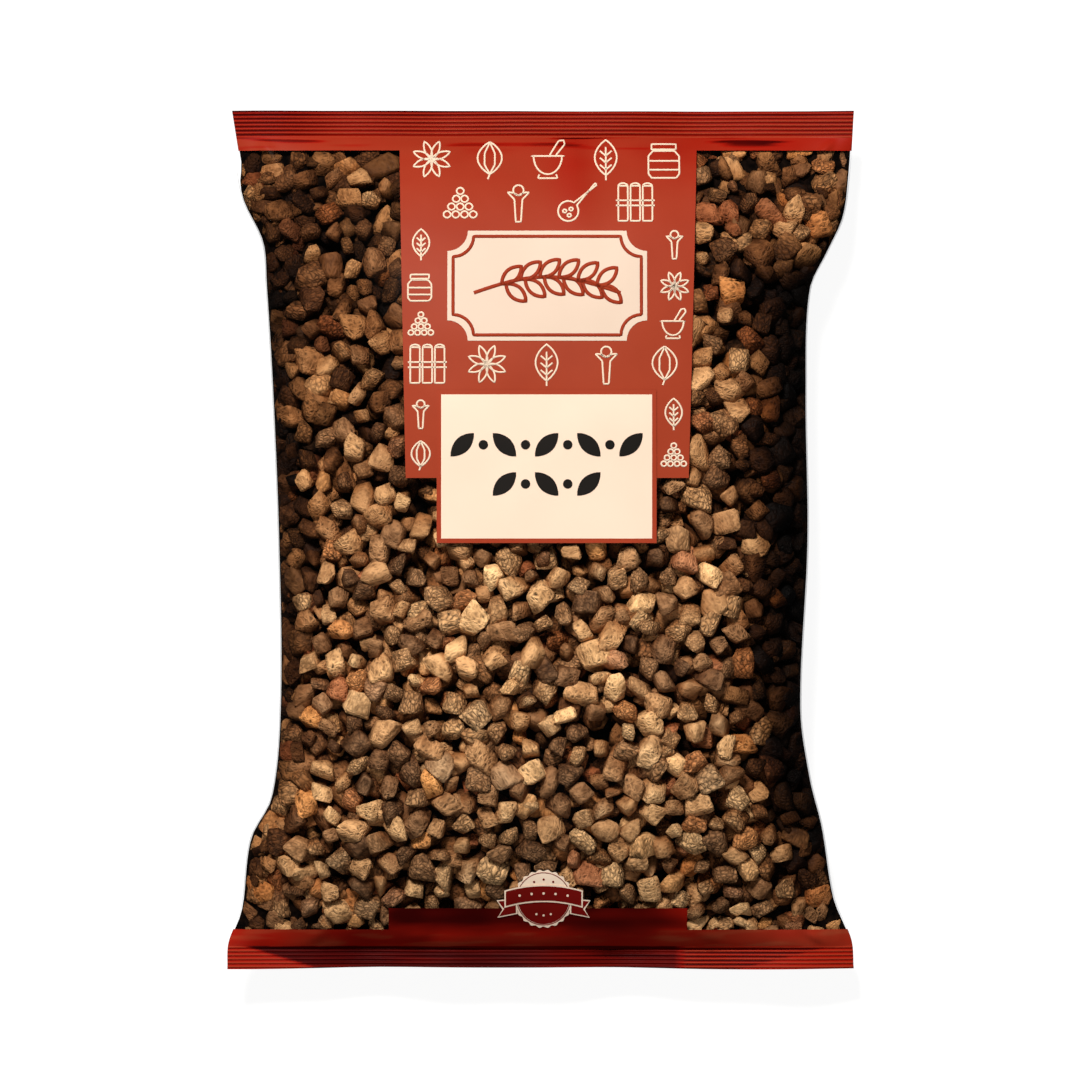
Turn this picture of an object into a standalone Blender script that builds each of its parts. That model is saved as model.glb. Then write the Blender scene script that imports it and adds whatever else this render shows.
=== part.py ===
"""A filled seed pouch that lies on its back: the film, the seeds in it and the label on it.

Metres, +Z up. The front faces +Z, the top seal is towards +Y, and the back rests on Z = 0.
"""

import math
import random

import bmesh
import bpy
from mathutils import Matrix, Vector

MM = 0.001

# Pouch: over both seals, and the sizes of the chamber between them.
LENGTH = 144.0 * MM
SEAL_WIDTH = 105.0 * MM
FRONT_RISE = 18.4 * MM
BACK_DROP = 12.3 * MM
FOLD_HEIGHT_AT_SEALS = 8.5 * MM
FOLD_HEIGHT_AT_MIDDLE = 11.0 * MM
FILM_THICKNESS = 0.4 * MM

# Side folds: (place up the pouch, distance from the centre line), from the top seal down.
LEFT_FOLD = [
    (72.0 * MM, 52.5 * MM),
    (64.0 * MM, 51.2 * MM),
    (57.0 * MM, 50.0 * MM),
    (50.0 * MM, 46.7 * MM),
    (43.0 * MM, 46.1 * MM),
    (25.0 * MM, 45.0 * MM),
    (0.0 * MM, 44.0 * MM),
    (-27.0 * MM, 43.7 * MM),
    (-43.0 * MM, 45.2 * MM),
    (-50.0 * MM, 48.7 * MM),
    (-62.0 * MM, 50.3 * MM),
    (-67.5 * MM, 52.3 * MM),
    (-72.0 * MM, 52.5 * MM),
]
RIGHT_FOLD = [
    (72.0 * MM, 52.5 * MM),
    (61.0 * MM, 51.8 * MM),
    (54.0 * MM, 50.8 * MM),
    (48.5 * MM, 48.3 * MM),
    (42.0 * MM, 45.3 * MM),
    (25.0 * MM, 44.6 * MM),
    (0.0 * MM, 44.9 * MM),
    (-28.0 * MM, 43.7 * MM),
    (-40.0 * MM, 45.3 * MM),
    (-48.0 * MM, 47.3 * MM),
    (-60.0 * MM, 49.3 * MM),
    (-67.0 * MM, 52.1 * MM),
    (-72.0 * MM, 52.5 * MM),
]

# How the chamber opens from the seals, and how round its sections are.
SWELL_REACH = 3.0
SWELL_POWER = 0.8
SECTION_POWER = 2.6
SECTION_ROOT_AT_SEALS = 0.66
SECTION_ROOT_AT_MIDDLE = 0.40
END_OPENING = 0.2 * MM

# Crimped seals: ribs run across the pouch.
RIB_PITCH = 0.66 * MM
RIB_HEIGHT = 0.14 * MM
SEAL_THICKNESS = 0.8 * MM
TOP_RIBS = 7
BOTTOM_RIBS = 6
STEPS_PER_RIB = 4
CHAMBER_INTO_SEAL = 0.7 * MM

# Back seam: two layers that lap, open by a slit between them.
LAP_WIDTH = 10.0 * MM
LAP_LENGTH = 72.0 * MM
SLIT = 0.3 * MM
SLIT_MARGIN = 1.0 * MM

# Film mesh: stations along each half of the chamber, and steps across its front or back.
STATIONS = 18
STEPS_ACROSS = 18
FINE_STEPS = 160
TURN_WEIGHT = 12.0 * MM
CAVITY_END = 0.985

# Filling: seeds larger than life that stand out of a core.
SEED_PITCH = 10.5 * MM
SEED_LENGTH = (8.2 * MM, 9.6 * MM)
SEED_WIDTH = (6.8 * MM, 8.0 * MM)
SEED_DEPTH = 2.6 * MM
FILM_MARGIN = 1.3 * MM
SHRINK = 0.9
SHRINK_STEPS = 6
SEED_TILT = 0.12
SEED_JITTER = 0.18
FILLING_END = 0.87
SLOPE_STEP = 0.5 * MM
CORE_BELOW_SEEDS = 0.2 * MM
FILLING_FLOOR = 1.5 * MM
CORE_STATIONS = 7
CORE_STEPS = 8
RING_STEPS = 32
RANDOM_SEED = 7

# Label: stuck on the front, at the foot of the printed panel.
LABEL_CENTRE = (1.0 * MM, 12.2 * MM)
LABEL_SIZE = (36.5 * MM, 25.4 * MM)
LABEL_THICKNESS = 0.25 * MM
LABEL_GAP = 0.36 * MM
LABEL_STEPS = (10, 7)

# Materials: colour, alpha and roughness.
FILM_LOOK = ((0.86, 0.83, 0.80), 0.35, 0.15)
SEED_LOOK = ((0.27, 0.17, 0.09), 1.0, 0.75)
LABEL_LOOK = ((0.96, 0.80, 0.64), 1.0, 0.5)

SMOOTH_ANGLE = math.radians(40.0)

SEED_INSET = FILM_MARGIN + SEED_DEPTH
CHAMBER_TOP = LENGTH / 2.0 - TOP_RIBS * RIB_PITCH + CHAMBER_INTO_SEAL
CHAMBER_BOTTOM = -LENGTH / 2.0 + BOTTOM_RIBS * RIB_PITCH - CHAMBER_INTO_SEAL
CHAMBER_MIDDLE = (CHAMBER_TOP + CHAMBER_BOTTOM) / 2.0
CHAMBER_HALF = (CHAMBER_TOP - CHAMBER_BOTTOM) / 2.0


def smooth_through(points, y):
    """Value at y of a smooth curve through (y, value) points, which run from high y to low."""
    index = 0
    while index < len(points) - 2 and y < points[index + 1][0]:
        index += 1

    def slope(at):
        first = points[max(at - 1, 0)]
        last = points[min(at + 1, len(points) - 1)]
        return (last[1] - first[1]) / (last[0] - first[0])

    (y0, value0), (y1, value1) = points[index], points[index + 1]
    span = y1 - y0
    t = (y - y0) / span
    start = value0 * (2.0 * t ** 3 - 3.0 * t ** 2 + 1.0)
    end = value1 * (3.0 * t ** 2 - 2.0 * t ** 3)
    leave = slope(index) * span * (t ** 3 - 2.0 * t ** 2 + t)
    arrive = slope(index + 1) * span * (t ** 3 - t ** 2)
    return start + end + leave + arrive


def chamber_y(fraction):
    """Place up the pouch at a fraction of the chamber, -1 at its bottom end and 1 at its top."""
    return CHAMBER_MIDDLE + fraction * CHAMBER_HALF


def swell(y):
    """How far the chamber has opened at y: 0 at its ends and 1 in the middle."""
    reach = min(abs(y - CHAMBER_MIDDLE) / CHAMBER_HALF, 1.0)
    return (1.0 - reach ** SWELL_REACH) ** SWELL_POWER


def fold_height(y):
    """Height of the side folds above the table."""
    return FOLD_HEIGHT_AT_SEALS + (FOLD_HEIGHT_AT_MIDDLE - FOLD_HEIGHT_AT_SEALS) * swell(y)


def film_height(across, y, side):
    """Height of the front (side 1) or back (side -1), where across runs from -1 to 1."""
    opening = swell(y)
    root = SECTION_ROOT_AT_SEALS + (SECTION_ROOT_AT_MIDDLE - SECTION_ROOT_AT_SEALS) * opening
    bulge = max(1.0 - abs(across) ** SECTION_POWER, 0.0) ** root
    if side > 0:
        return fold_height(y) + (FRONT_RISE * opening + END_OPENING) * bulge
    return max(fold_height(y) - (BACK_DROP * opening + END_OPENING) * bulge, 0.0)


def film_line(y, side, inset):
    """(x, z) points of the front or back line at y, moved inwards, from left to right."""
    left = -smooth_through(LEFT_FOLD, y)
    right = smooth_through(RIGHT_FOLD, y)
    line = []
    for step in range(FINE_STEPS + 1):
        across = -math.cos(math.pi * step / FINE_STEPS)
        x = (left + right) / 2.0 + across * (right - left) / 2.0
        line.append(Vector((x, film_height(across, y, side))))
    moved = []
    for index, point in enumerate(line):
        along = line[min(index + 1, FINE_STEPS)] - line[max(index - 1, 0)]
        inwards = Vector((along.y, -along.x)).normalized() * side
        moved.append(point + inwards * inset)
    level = fold_height(y)
    return [point for point in moved if (point.y - level) * side >= 0.0]


def spread_points(line, count):
    """count + 1 points along a line, closer together where it turns."""
    travelled = [0.0]
    heading = line[1] - line[0]
    for before, after in zip(line, line[1:]):
        step = after - before
        turn = step.angle(heading, 0.0)
        travelled.append(travelled[-1] + step.length + TURN_WEIGHT * turn)
        heading = step
    points = []
    index = 0
    for number in range(count + 1):
        target = travelled[-1] * number / count
        while index < len(line) - 2 and travelled[index + 1] < target:
            index += 1
        share = (target - travelled[index]) / (travelled[index + 1] - travelled[index])
        points.append(line[index].lerp(line[index + 1], min(share, 1.0)))
    return points


def film_loop(y, inset, steps, floor=0.0):
    """Closed section of the chamber at y, moved inwards: over the front, back under it."""
    front = film_line(y, 1, inset)
    back = film_line(y, -1, inset)
    level = fold_height(y)
    left = Vector((max(front[0].x, back[0].x), level))
    right = Vector((min(front[-1].x, back[-1].x), level))
    sides = []
    for line in (front, back):
        between = [point for point in line if left.x < point.x < right.x]
        sides.append(spread_points([left] + between + [right], steps))
    loop = sides[0] + sides[1][-2:0:-1]
    return [Vector((point.x, y, max(point.y, floor))) for point in loop]


def object_from(name, shape, collection):
    """Object of a bmesh, which is freed."""
    bmesh.ops.recalc_face_normals(shape, faces=shape.faces)
    mesh = bpy.data.meshes.new(name)
    shape.to_mesh(mesh)
    shape.free()
    item = bpy.data.objects.new(name, mesh)
    collection.objects.link(item)
    return item


def loft(name, loops, collection):
    """Closed body through sections with equal numbers of points."""
    shape = bmesh.new()
    rings = [[shape.verts.new(point) for point in loop] for loop in loops]
    for near, far in zip(rings, rings[1:]):
        for index in range(len(near)):
            after = (index + 1) % len(near)
            shape.faces.new((near[index], near[after], far[after], far[index]))
    shape.faces.new(rings[0])
    shape.faces.new(rings[-1])
    return object_from(name, shape, collection)


def bar_across(name, outline, axis, length, collection):
    """Straight bar: an outline in a plane at -length/2, extruded to +length/2 along axis."""
    shape = bmesh.new()
    start = [shape.verts.new(point - axis * length / 2.0) for point in outline]
    face = shape.faces.new(start)
    swept = bmesh.ops.extrude_face_region(shape, geom=[face])
    moved = [part for part in swept["geom"] if isinstance(part, bmesh.types.BMVert)]
    bmesh.ops.translate(shape, verts=moved, vec=axis * length)
    return object_from(name, shape, collection)


def seal_bar(name, end, ribs, collection):
    """Crimped seal at one end, 1 for the top and -1 for the bottom."""
    upper = []
    lower = []
    for step in range(ribs * STEPS_PER_RIB + 1):
        y = end * (LENGTH / 2.0 - step * RIB_PITCH / STEPS_PER_RIB)
        wave = RIB_HEIGHT * math.sin(2.0 * math.pi * step / STEPS_PER_RIB)
        middle = FOLD_HEIGHT_AT_SEALS + wave
        upper.append(Vector((0.0, y, middle + SEAL_THICKNESS / 2.0)))
        lower.append(Vector((0.0, y, middle - SEAL_THICKNESS / 2.0)))
    outline = upper + lower[::-1]
    return bar_across(name, outline, Vector((1.0, 0.0, 0.0)), SEAL_WIDTH, collection)


def lap_parts(collection):
    """Inner layer of the back seam, and the slit that winds between the two layers."""
    inner_top = 2.0 * FILM_THICKNESS + SLIT
    half = LAP_WIDTH / 2.0
    along = Vector((0.0, 1.0, 0.0))
    strip = [(-half, FILM_THICKNESS / 2.0), (half, FILM_THICKNESS / 2.0), (half, inner_top), (-half, inner_top)]
    layer = bar_across("seam_layer", [Vector((x, 0.0, z)) for x, z in strip], along, LAP_LENGTH, collection)
    outer = half - SLIT_MARGIN
    below = -FILM_THICKNESS
    above = inner_top + FILM_THICKNESS
    winding = [
        (outer - SLIT, below),
        (outer, below),
        (outer, FILM_THICKNESS + SLIT),
        (SLIT - outer, FILM_THICKNESS + SLIT),
        (SLIT - outer, above),
        (-outer, above),
        (-outer, FILM_THICKNESS),
        (outer - SLIT, FILM_THICKNESS),
    ]
    slit_length = LAP_LENGTH - 2.0 * SLIT_MARGIN
    slit = bar_across("seam_slit", [Vector((x, 0.0, z)) for x, z in winding], along, slit_length, collection)
    return layer, slit


def combine(item, other, operation):
    """Exact Boolean with a body that is only a tool."""
    modifier = item.modifiers.new(other.name, "BOOLEAN")
    modifier.operation = operation
    modifier.solver = "EXACT"
    modifier.object = other
    other.hide_render = True
    other.display_type = "WIRE"


def make_film(parts, cutters):
    """Hollow film chamber with a crimped seal at each end and a lapped seam down the back."""
    fractions = [math.sin(math.pi / 2.0 * step / STATIONS) for step in range(-STATIONS, STATIONS + 1)]
    outside = [film_loop(chamber_y(fraction), 0.0, STEPS_ACROSS) for fraction in fractions]
    film = loft("pouch_film", outside, parts)
    within = [max(-CAVITY_END, min(fraction, CAVITY_END)) for fraction in fractions[1:-1]]
    inside = [film_loop(chamber_y(fraction), FILM_THICKNESS, STEPS_ACROSS) for fraction in within]
    combine(film, seal_bar("top_seal", 1, TOP_RIBS, cutters), "UNION")
    combine(film, seal_bar("bottom_seal", -1, BOTTOM_RIBS, cutters), "UNION")
    combine(film, loft("cavity", inside, cutters), "DIFFERENCE")
    layer, slit = lap_parts(cutters)
    combine(film, layer, "UNION")
    combine(film, slit, "DIFFERENCE")
    return film


def steepness(y):
    """How much longer a level inset is than one square to the film, where it slopes to a seal."""
    rise = FRONT_RISE * (swell(y + SLOPE_STEP) - swell(y - SLOPE_STEP)) / (2.0 * SLOPE_STEP)
    return math.hypot(1.0, rise)


def clear_of_film(point):
    """Whether a point of a seed is far enough inside the outside of the film."""
    for step in (-FILM_MARGIN, FILM_MARGIN):
        for move in (Vector((step, 0.0, 0.0)), Vector((0.0, step, 0.0)), Vector((0.0, 0.0, step))):
            near = point + move
            left = -smooth_through(LEFT_FOLD, near.y)
            right = smooth_through(RIGHT_FOLD, near.y)
            across = (2.0 * near.x - left - right) / (right - left)
            if not film_height(across, near.y, -1) <= near.z <= film_height(across, near.y, 1):
                return False
    return point.z >= FILLING_FLOOR


def add_seed(centre, outwards, draw, collection):
    """One faceted seed that lies flat to the film, made smaller until it is clear of it."""
    shape = bmesh.new()
    bmesh.ops.create_icosphere(shape, subdivisions=1, radius=1.0)
    size = (draw.uniform(*SEED_LENGTH) / 2.0, draw.uniform(*SEED_WIDTH) / 2.0, SEED_DEPTH)
    tilt = Matrix.Rotation(draw.uniform(-SEED_TILT, SEED_TILT), 4, "X")
    spin = Matrix.Rotation(draw.uniform(0.0, math.pi), 4, "Z")
    facing = outwards.to_track_quat("Z", "Y").to_matrix().to_4x4()
    place = Matrix.Translation(centre) @ facing @ tilt @ spin @ Matrix.Diagonal((*size, 1.0))
    bmesh.ops.transform(shape, matrix=place, verts=shape.verts)
    for attempt in range(SHRINK_STEPS):
        if all(clear_of_film(corner.co) for corner in shape.verts):
            object_from("seed", shape, collection)
            return
        shrink = Matrix.Translation(centre) @ Matrix.Scale(SHRINK, 4) @ Matrix.Translation(-centre)
        bmesh.ops.transform(shape, matrix=shrink, verts=shape.verts)
    shape.free()


def seed_ring(y, offset, draw):
    """Centres of the seeds round the filling at y, with the way each one faces."""
    floor = FILLING_FLOOR + SEED_DEPTH
    loops = []
    for place in (y - SLOPE_STEP, y, y + SLOPE_STEP):
        loops.append(film_loop(place, SEED_INSET * steepness(place), RING_STEPS, floor))
    below, loop, above = loops
    around = sum((after - before).length for before, after in zip(loop, loop[1:] + loop[:1]))
    count = round(around / SEED_PITCH)
    middle = Vector((0.0, y, fold_height(y)))
    seeds = []
    for number in range(count):
        place = (number + offset + draw.uniform(-SEED_JITTER, SEED_JITTER)) / count * len(loop)
        index = math.floor(place) % len(loop)
        after = (index + 1) % len(loop)
        centre = loop[index].lerp(loop[after], place - math.floor(place))
        outwards = (loop[after] - loop[index]).cross(above[index] - below[index])
        if outwards.dot(centre - middle) < 0.0:
            outwards.negate()
        seeds.append((centre, outwards))
    return seeds


def make_filling(parts):
    """Heap of seeds: a core with seeds that stand out of it all round, fused in one body."""
    draw = random.Random(RANDOM_SEED)
    core_loops = []
    for step in range(-CORE_STATIONS, CORE_STATIONS + 1):
        y = chamber_y(FILLING_END * math.sin(math.pi / 2.0 * step / CORE_STATIONS))
        inset = (SEED_INSET + CORE_BELOW_SEEDS) * steepness(y)
        core_loops.append(film_loop(y, inset, CORE_STEPS, FILLING_FLOOR + SEED_DEPTH))
    filling = loft("cardamom_seeds", core_loops, parts)
    seeds = bpy.data.collections.new("seeds")
    bpy.context.scene.collection.children.link(seeds)
    low = chamber_y(-FILLING_END)
    high = chamber_y(FILLING_END)
    rows = round((high - low) / SEED_PITCH)
    for row in range(rows + 1):
        y = low + (high - low) * row / rows
        for centre, outwards in seed_ring(y, row % 2 / 2.0, draw):
            add_seed(centre, outwards, draw, seeds)
    fuse = filling.modifiers.new("fuse", "BOOLEAN")
    fuse.operand_type = "COLLECTION"
    fuse.collection = seeds
    fuse.operation = "UNION"
    fuse.solver = "EXACT"
    evaluated = filling.evaluated_get(bpy.context.evaluated_depsgraph_get())
    fused = bpy.data.meshes.new_from_object(evaluated)
    filling.modifiers.clear()
    filling.data = fused
    for item in list(seeds.objects):
        bpy.data.objects.remove(item)
    bpy.data.collections.remove(seeds)
    return filling


def make_label(parts):
    """Thin label that follows the front of the film."""
    shape = bmesh.new()
    bmesh.ops.create_grid(shape, x_segments=LABEL_STEPS[0], y_segments=LABEL_STEPS[1], size=0.5)
    for corner in shape.verts:
        x = LABEL_CENTRE[0] + corner.co.x * LABEL_SIZE[0]
        y = LABEL_CENTRE[1] + corner.co.y * LABEL_SIZE[1]
        left = -smooth_through(LEFT_FOLD, y)
        right = smooth_through(RIGHT_FOLD, y)
        across = (2.0 * x - left - right) / (right - left)
        corner.co = Vector((x, y, film_height(across, y, 1) + LABEL_GAP))
    label = object_from("product_label", shape, parts)
    shell = label.modifiers.new("thickness", "SOLIDIFY")
    shell.thickness = LABEL_THICKNESS
    shell.offset = 1.0
    return label


def finish(item, look):
    """Give an object its own material, and shade it smooth where it is round."""
    colour, alpha, roughness = look
    material = bpy.data.materials.new(item.name)
    material.use_nodes = True
    shader = material.node_tree.nodes["Principled BSDF"]
    shader.inputs["Base Color"].default_value = (*colour, 1.0)
    shader.inputs["Alpha"].default_value = alpha
    shader.inputs["Roughness"].default_value = roughness
    shader.inputs["Metallic"].default_value = 0.0
    item.data.materials.clear()
    item.data.materials.append(material)


def main():
    """Build the pouch."""
    for item in list(bpy.data.objects):
        bpy.data.objects.remove(item)
    parts = bpy.data.collections.new("cardamom_seed_pouch")
    cutters = bpy.data.collections.new("cutters")
    bpy.context.scene.collection.children.link(parts)
    bpy.context.scene.collection.children.link(cutters)
    film = make_film(parts, cutters)
    filling = make_filling(parts)
    label = make_label(parts)
    film.data.shade_smooth()
    film.data.set_sharp_from_angle(angle=SMOOTH_ANGLE)
    label.data.shade_smooth()
    finish(film, FILM_LOOK)
    finish(filling, SEED_LOOK)
    finish(label, LABEL_LOOK)


main()
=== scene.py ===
# %% [markdown]
# A filled seed pouch that lies on its back, seen from straight above.
# The pouch is one tube of clear film, printed red at both ends and in a panel on the front,
# crimped shut at both ends, with loose cardamom seeds pressed against it from inside.
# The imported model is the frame: it fixes every size, and the pieces made here are its finish.

# %% Load the frame
import functools
import itertools
import math
import random

import bmesh
import bpy
from mathutils import Matrix, Vector, noise


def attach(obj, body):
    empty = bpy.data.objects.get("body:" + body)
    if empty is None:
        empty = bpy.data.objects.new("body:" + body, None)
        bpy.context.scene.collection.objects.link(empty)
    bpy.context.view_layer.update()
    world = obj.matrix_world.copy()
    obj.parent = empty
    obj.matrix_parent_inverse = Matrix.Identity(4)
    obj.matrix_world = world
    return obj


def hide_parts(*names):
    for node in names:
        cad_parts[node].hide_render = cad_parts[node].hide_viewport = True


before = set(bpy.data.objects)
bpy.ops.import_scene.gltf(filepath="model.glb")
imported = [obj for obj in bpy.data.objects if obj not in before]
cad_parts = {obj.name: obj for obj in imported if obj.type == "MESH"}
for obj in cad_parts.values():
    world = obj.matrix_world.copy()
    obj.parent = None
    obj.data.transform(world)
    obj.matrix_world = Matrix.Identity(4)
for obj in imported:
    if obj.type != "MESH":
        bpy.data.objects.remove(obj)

MM = 0.001
TURN = 2.0 * math.pi
BODY = "root"
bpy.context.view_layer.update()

# %% [markdown]
# The outline of the pouch is not a rectangle. Where the film is pinched flat by a seal it keeps
# its full width, and where the seeds push it open it draws in. Two smooth curves hold the side
# folds, and one formula swells the film between them, so every piece can ask where the film is.

# %% Side folds and sizes of the pouch
LENGTH = 144.0 * MM
FRONT_RISE = 18.4 * MM
BACK_DROP = 12.3 * MM
FOLD_HEIGHT_AT_SEALS = 8.5 * MM
FOLD_HEIGHT_AT_MIDDLE = 11.0 * MM
SWELL_REACH = 3.0
SWELL_POWER = 0.8
SECTION_POWER = 2.6
SECTION_ROOT_AT_SEALS = 0.66
SECTION_ROOT_AT_MIDDLE = 0.40
RIB_PITCH = 0.66 * MM
TOP_RIBS = 7
BOTTOM_RIBS = 6
CHAMBER_INTO_SEAL = 0.7 * MM
SEAL_HALF = 0.24 * MM


def in_mm(*places):
    """Tuples of millimetres as tuples of metres."""
    return [tuple(value * MM for value in place) for place in places]


# Each point of a fold is its y and how far out from the middle the fold lies there.
LEFT_FOLD = in_mm(
    (72.0, 52.5), (64.0, 51.2), (57.0, 50.0), (50.0, 46.7), (43.0, 46.1), (25.0, 45.0), (0.0, 44.0),
    (-27.0, 43.7), (-43.0, 45.2), (-50.0, 48.7), (-62.0, 50.3), (-67.5, 52.3), (-72.0, 52.5))
RIGHT_FOLD = in_mm(
    (72.0, 52.5), (61.0, 51.8), (54.0, 50.8), (48.5, 48.3), (42.0, 45.3), (25.0, 44.6), (0.0, 44.9),
    (-28.0, 43.7), (-40.0, 45.3), (-48.0, 47.3), (-60.0, 49.3), (-67.0, 52.1), (-72.0, 52.5))
TOP_SEAL_LINE = LENGTH / 2.0 - TOP_RIBS * RIB_PITCH
BOTTOM_SEAL_LINE = -LENGTH / 2.0 + BOTTOM_RIBS * RIB_PITCH
CHAMBER_TOP = TOP_SEAL_LINE + CHAMBER_INTO_SEAL
CHAMBER_BOTTOM = BOTTOM_SEAL_LINE - CHAMBER_INTO_SEAL
CHAMBER_MIDDLE = (CHAMBER_TOP + CHAMBER_BOTTOM) / 2.0
CHAMBER_HALF = (CHAMBER_TOP - CHAMBER_BOTTOM) / 2.0


def smooth_through(points, y):
    """Value at y of a smooth curve through (y, value) points, which run from high y to low."""
    index = 0
    while index < len(points) - 2 and y < points[index + 1][0]:
        index += 1

    def slope(at):
        first, last = points[max(at - 1, 0)], points[min(at + 1, len(points) - 1)]
        return (last[1] - first[1]) / (last[0] - first[0])

    (y0, value0), (y1, value1) = points[index], points[index + 1]
    span = y1 - y0
    t = (y - y0) / span
    start = value0 * (2.0 * t ** 3 - 3.0 * t ** 2 + 1.0)
    end = value1 * (3.0 * t ** 2 - 2.0 * t ** 3)
    leave = slope(index) * span * (t ** 3 - 2.0 * t ** 2 + t)
    arrive = slope(index + 1) * span * (t ** 3 - t ** 2)
    return start + end + leave + arrive


def folds(y):
    """Places of the left and right side folds at y."""
    return -smooth_through(LEFT_FOLD, y), smooth_through(RIGHT_FOLD, y)


def swell(y):
    """How far the chamber has opened at y: 0 at its ends and 1 in the middle."""
    reach = min(abs(y - CHAMBER_MIDDLE) / CHAMBER_HALF, 1.0)
    return (1.0 - reach ** SWELL_REACH) ** SWELL_POWER


print("folds at the middle in mm:", [round(x / MM, 1) for x in folds(0.0)])

# %% [markdown]
# A stiff seal never lies quite flat, so it waves up and down by a millimetre. The section of the
# pouch is a cushion: a power curve that is steep at the folds and nearly flat in the middle.

# %% Height of the film
SEAL_WAVE = 0.9 * MM
SEAL_WAVE_LENGTH = 47.0 * MM
SEAL_EDGE_POWER = 30.0


def step_between(low, high, value):
    """Smooth step from 0 at low to 1 at high."""
    t = min(max((value - low) / (high - low), 0.0), 1.0)
    return t * t * (3.0 - 2.0 * t)


def rise(low, high, place):
    """Smooth step over a place in metres, from 0 at low to 1 at high, which are in millimetres."""
    return step_between(low * MM, high * MM, place)


def seal_wave(x, y):
    """How far the stiff seal waves up or down at x, y."""
    turn = TURN * x / SEAL_WAVE_LENGTH + (0.9 if y > 0.0 else 2.6)
    return SEAL_WAVE * rise(62.5, 69.0, abs(y)) * (math.sin(turn) + 0.45 * math.sin(2.3 * turn + 1.0))


@functools.lru_cache(maxsize=None)
def section(y):
    """Left fold, right fold, height of the folds, swell and section root of the film at y."""
    opening = swell(y)
    height = FOLD_HEIGHT_AT_SEALS + (FOLD_HEIGHT_AT_MIDDLE - FOLD_HEIGHT_AT_SEALS) * opening
    root = SECTION_ROOT_AT_SEALS + (SECTION_ROOT_AT_MIDDLE - SECTION_ROOT_AT_SEALS) * opening
    return (*folds(y), height, opening, root)


def film_height(across, y, side):
    """Height of the front (side 1) or back (side -1) of the film, across running from -1 to 1."""
    left, right, level, opening, root = section(y)
    level += seal_wave((left + right + across * (right - left)) / 2.0, y)
    reach = min(abs(across), 1.0)
    bulge = (1.0 - reach ** SECTION_POWER) ** root
    flat = SEAL_HALF * (1.0 - reach ** SEAL_EDGE_POWER) ** 0.5
    if side > 0:
        return level + max(FRONT_RISE * opening * bulge, flat)
    return max(level - max(BACK_DROP * opening * bulge, flat), 0.0)


def across_at(x, y):
    """Where x lies between the side folds at y, from -1 to 1."""
    left, right = section(y)[:2]
    return (2.0 * x - left - right) / (right - left)


def room_at(x, y):
    """Lowest and highest place inside the film over x, y."""
    across = across_at(x, y)
    return film_height(across, y, -1), film_height(across, y, 1)


print("film over the middle in mm:", [round(z / MM, 1) for z in room_at(0.0, 0.0)])

# %% [markdown]
# A few small helpers serve every piece. Some build node trees: one adds a node and fills its
# inputs, one does sums, and one makes the empty shell of a tree with named inputs. Others turn
# points and faces into an object, and run a tree on it. The result is kept as a plain mesh and
# the modifier is dropped, so that the piece can be exported.

# %% Helpers for nodes
def fill(tree, node, inputs):
    """Set inputs of a node, by name or number, to values, or link them to other nodes' outputs."""
    for name, value in inputs.items():
        if isinstance(value, bpy.types.NodeSocket):
            tree.links.new(value, node.inputs[name])
        else:
            node.inputs[name].default_value = value


def add_node(tree, kind, inputs=(), **settings):
    """New node of a kind, with its settings made first and its inputs filled."""
    node = tree.nodes.new(kind)
    for name, value in settings.items():
        setattr(node, name, value)
    fill(tree, node, dict(inputs))
    return node


def math_node(tree, operation, first, second=None, clamp=False):
    """Output of a sum over sockets or numbers."""
    inputs = {0: first} if second is None else {0: first, 1: second}
    return add_node(tree, "ShaderNodeMath", inputs, operation=operation, use_clamp=clamp).outputs[0]


def product(tree, first, *others):
    """Output of a product of sockets and numbers."""
    for other in others:
        first = math_node(tree, "MULTIPLY", first, other)
    return first


def new_tree(name, inputs):
    """Geometry tree with (label, socket type, default) inputs, its inputs' outputs, and its end."""
    tree = bpy.data.node_groups.new(name, "GeometryNodeTree")
    for label, kind, default in [("Geometry", "Geometry", None)] + inputs:
        socket = tree.interface.new_socket(label, in_out="INPUT", socket_type="NodeSocket" + kind)
        if default is not None:
            socket.default_value = default
    tree.interface.new_socket("Geometry", in_out="OUTPUT", socket_type="NodeSocketGeometry")
    start = tree.nodes.new("NodeGroupInput")
    return tree, start.outputs, tree.nodes.new("NodeGroupOutput").inputs["Geometry"]


def named(tree, name, kind):
    """Output of an attribute of the geometry."""
    return add_node(tree, "GeometryNodeInputNamedAttribute", {"Name": name}, data_type=kind).outputs[0]


def set_material(tree, geometry, material, chosen=None):
    """Geometry with a material on all its faces, or on those that an attribute marks."""
    inputs = {"Geometry": geometry, "Material": material}
    if chosen:
        inputs["Selection"] = named(tree, chosen, "BOOLEAN")
    return add_node(tree, "GeometryNodeSetMaterial", inputs).outputs[0]


def realized(tree, geometry):
    """Geometry with its instances made real."""
    return add_node(tree, "GeometryNodeRealizeInstances", {0: geometry}).outputs[0]


# %% Helpers for meshes
pieces = bpy.data.collections.new("pieces")
bpy.context.scene.collection.children.link(pieces)


def face_outwards(mesh):
    """Turn all faces of a closed mesh outwards."""
    shape = bmesh.new()
    shape.from_mesh(mesh)
    bmesh.ops.recalc_face_normals(shape, faces=shape.faces)
    shape.to_mesh(mesh)
    shape.free()


def mesh_object(name, points, faces):
    """Object of a mesh from points and faces, with its faces turned outwards."""
    mesh = bpy.data.meshes.new(name)
    mesh.from_pydata(points, [], faces)
    face_outwards(mesh)
    item = bpy.data.objects.new(name, mesh)
    pieces.objects.link(item)
    return item


def keep_values(item, name, kind, domain, values):
    """Store a list of values as an attribute of a piece."""
    item.data.attributes.new(name, kind, domain).data.foreach_set("value", values)


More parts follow.
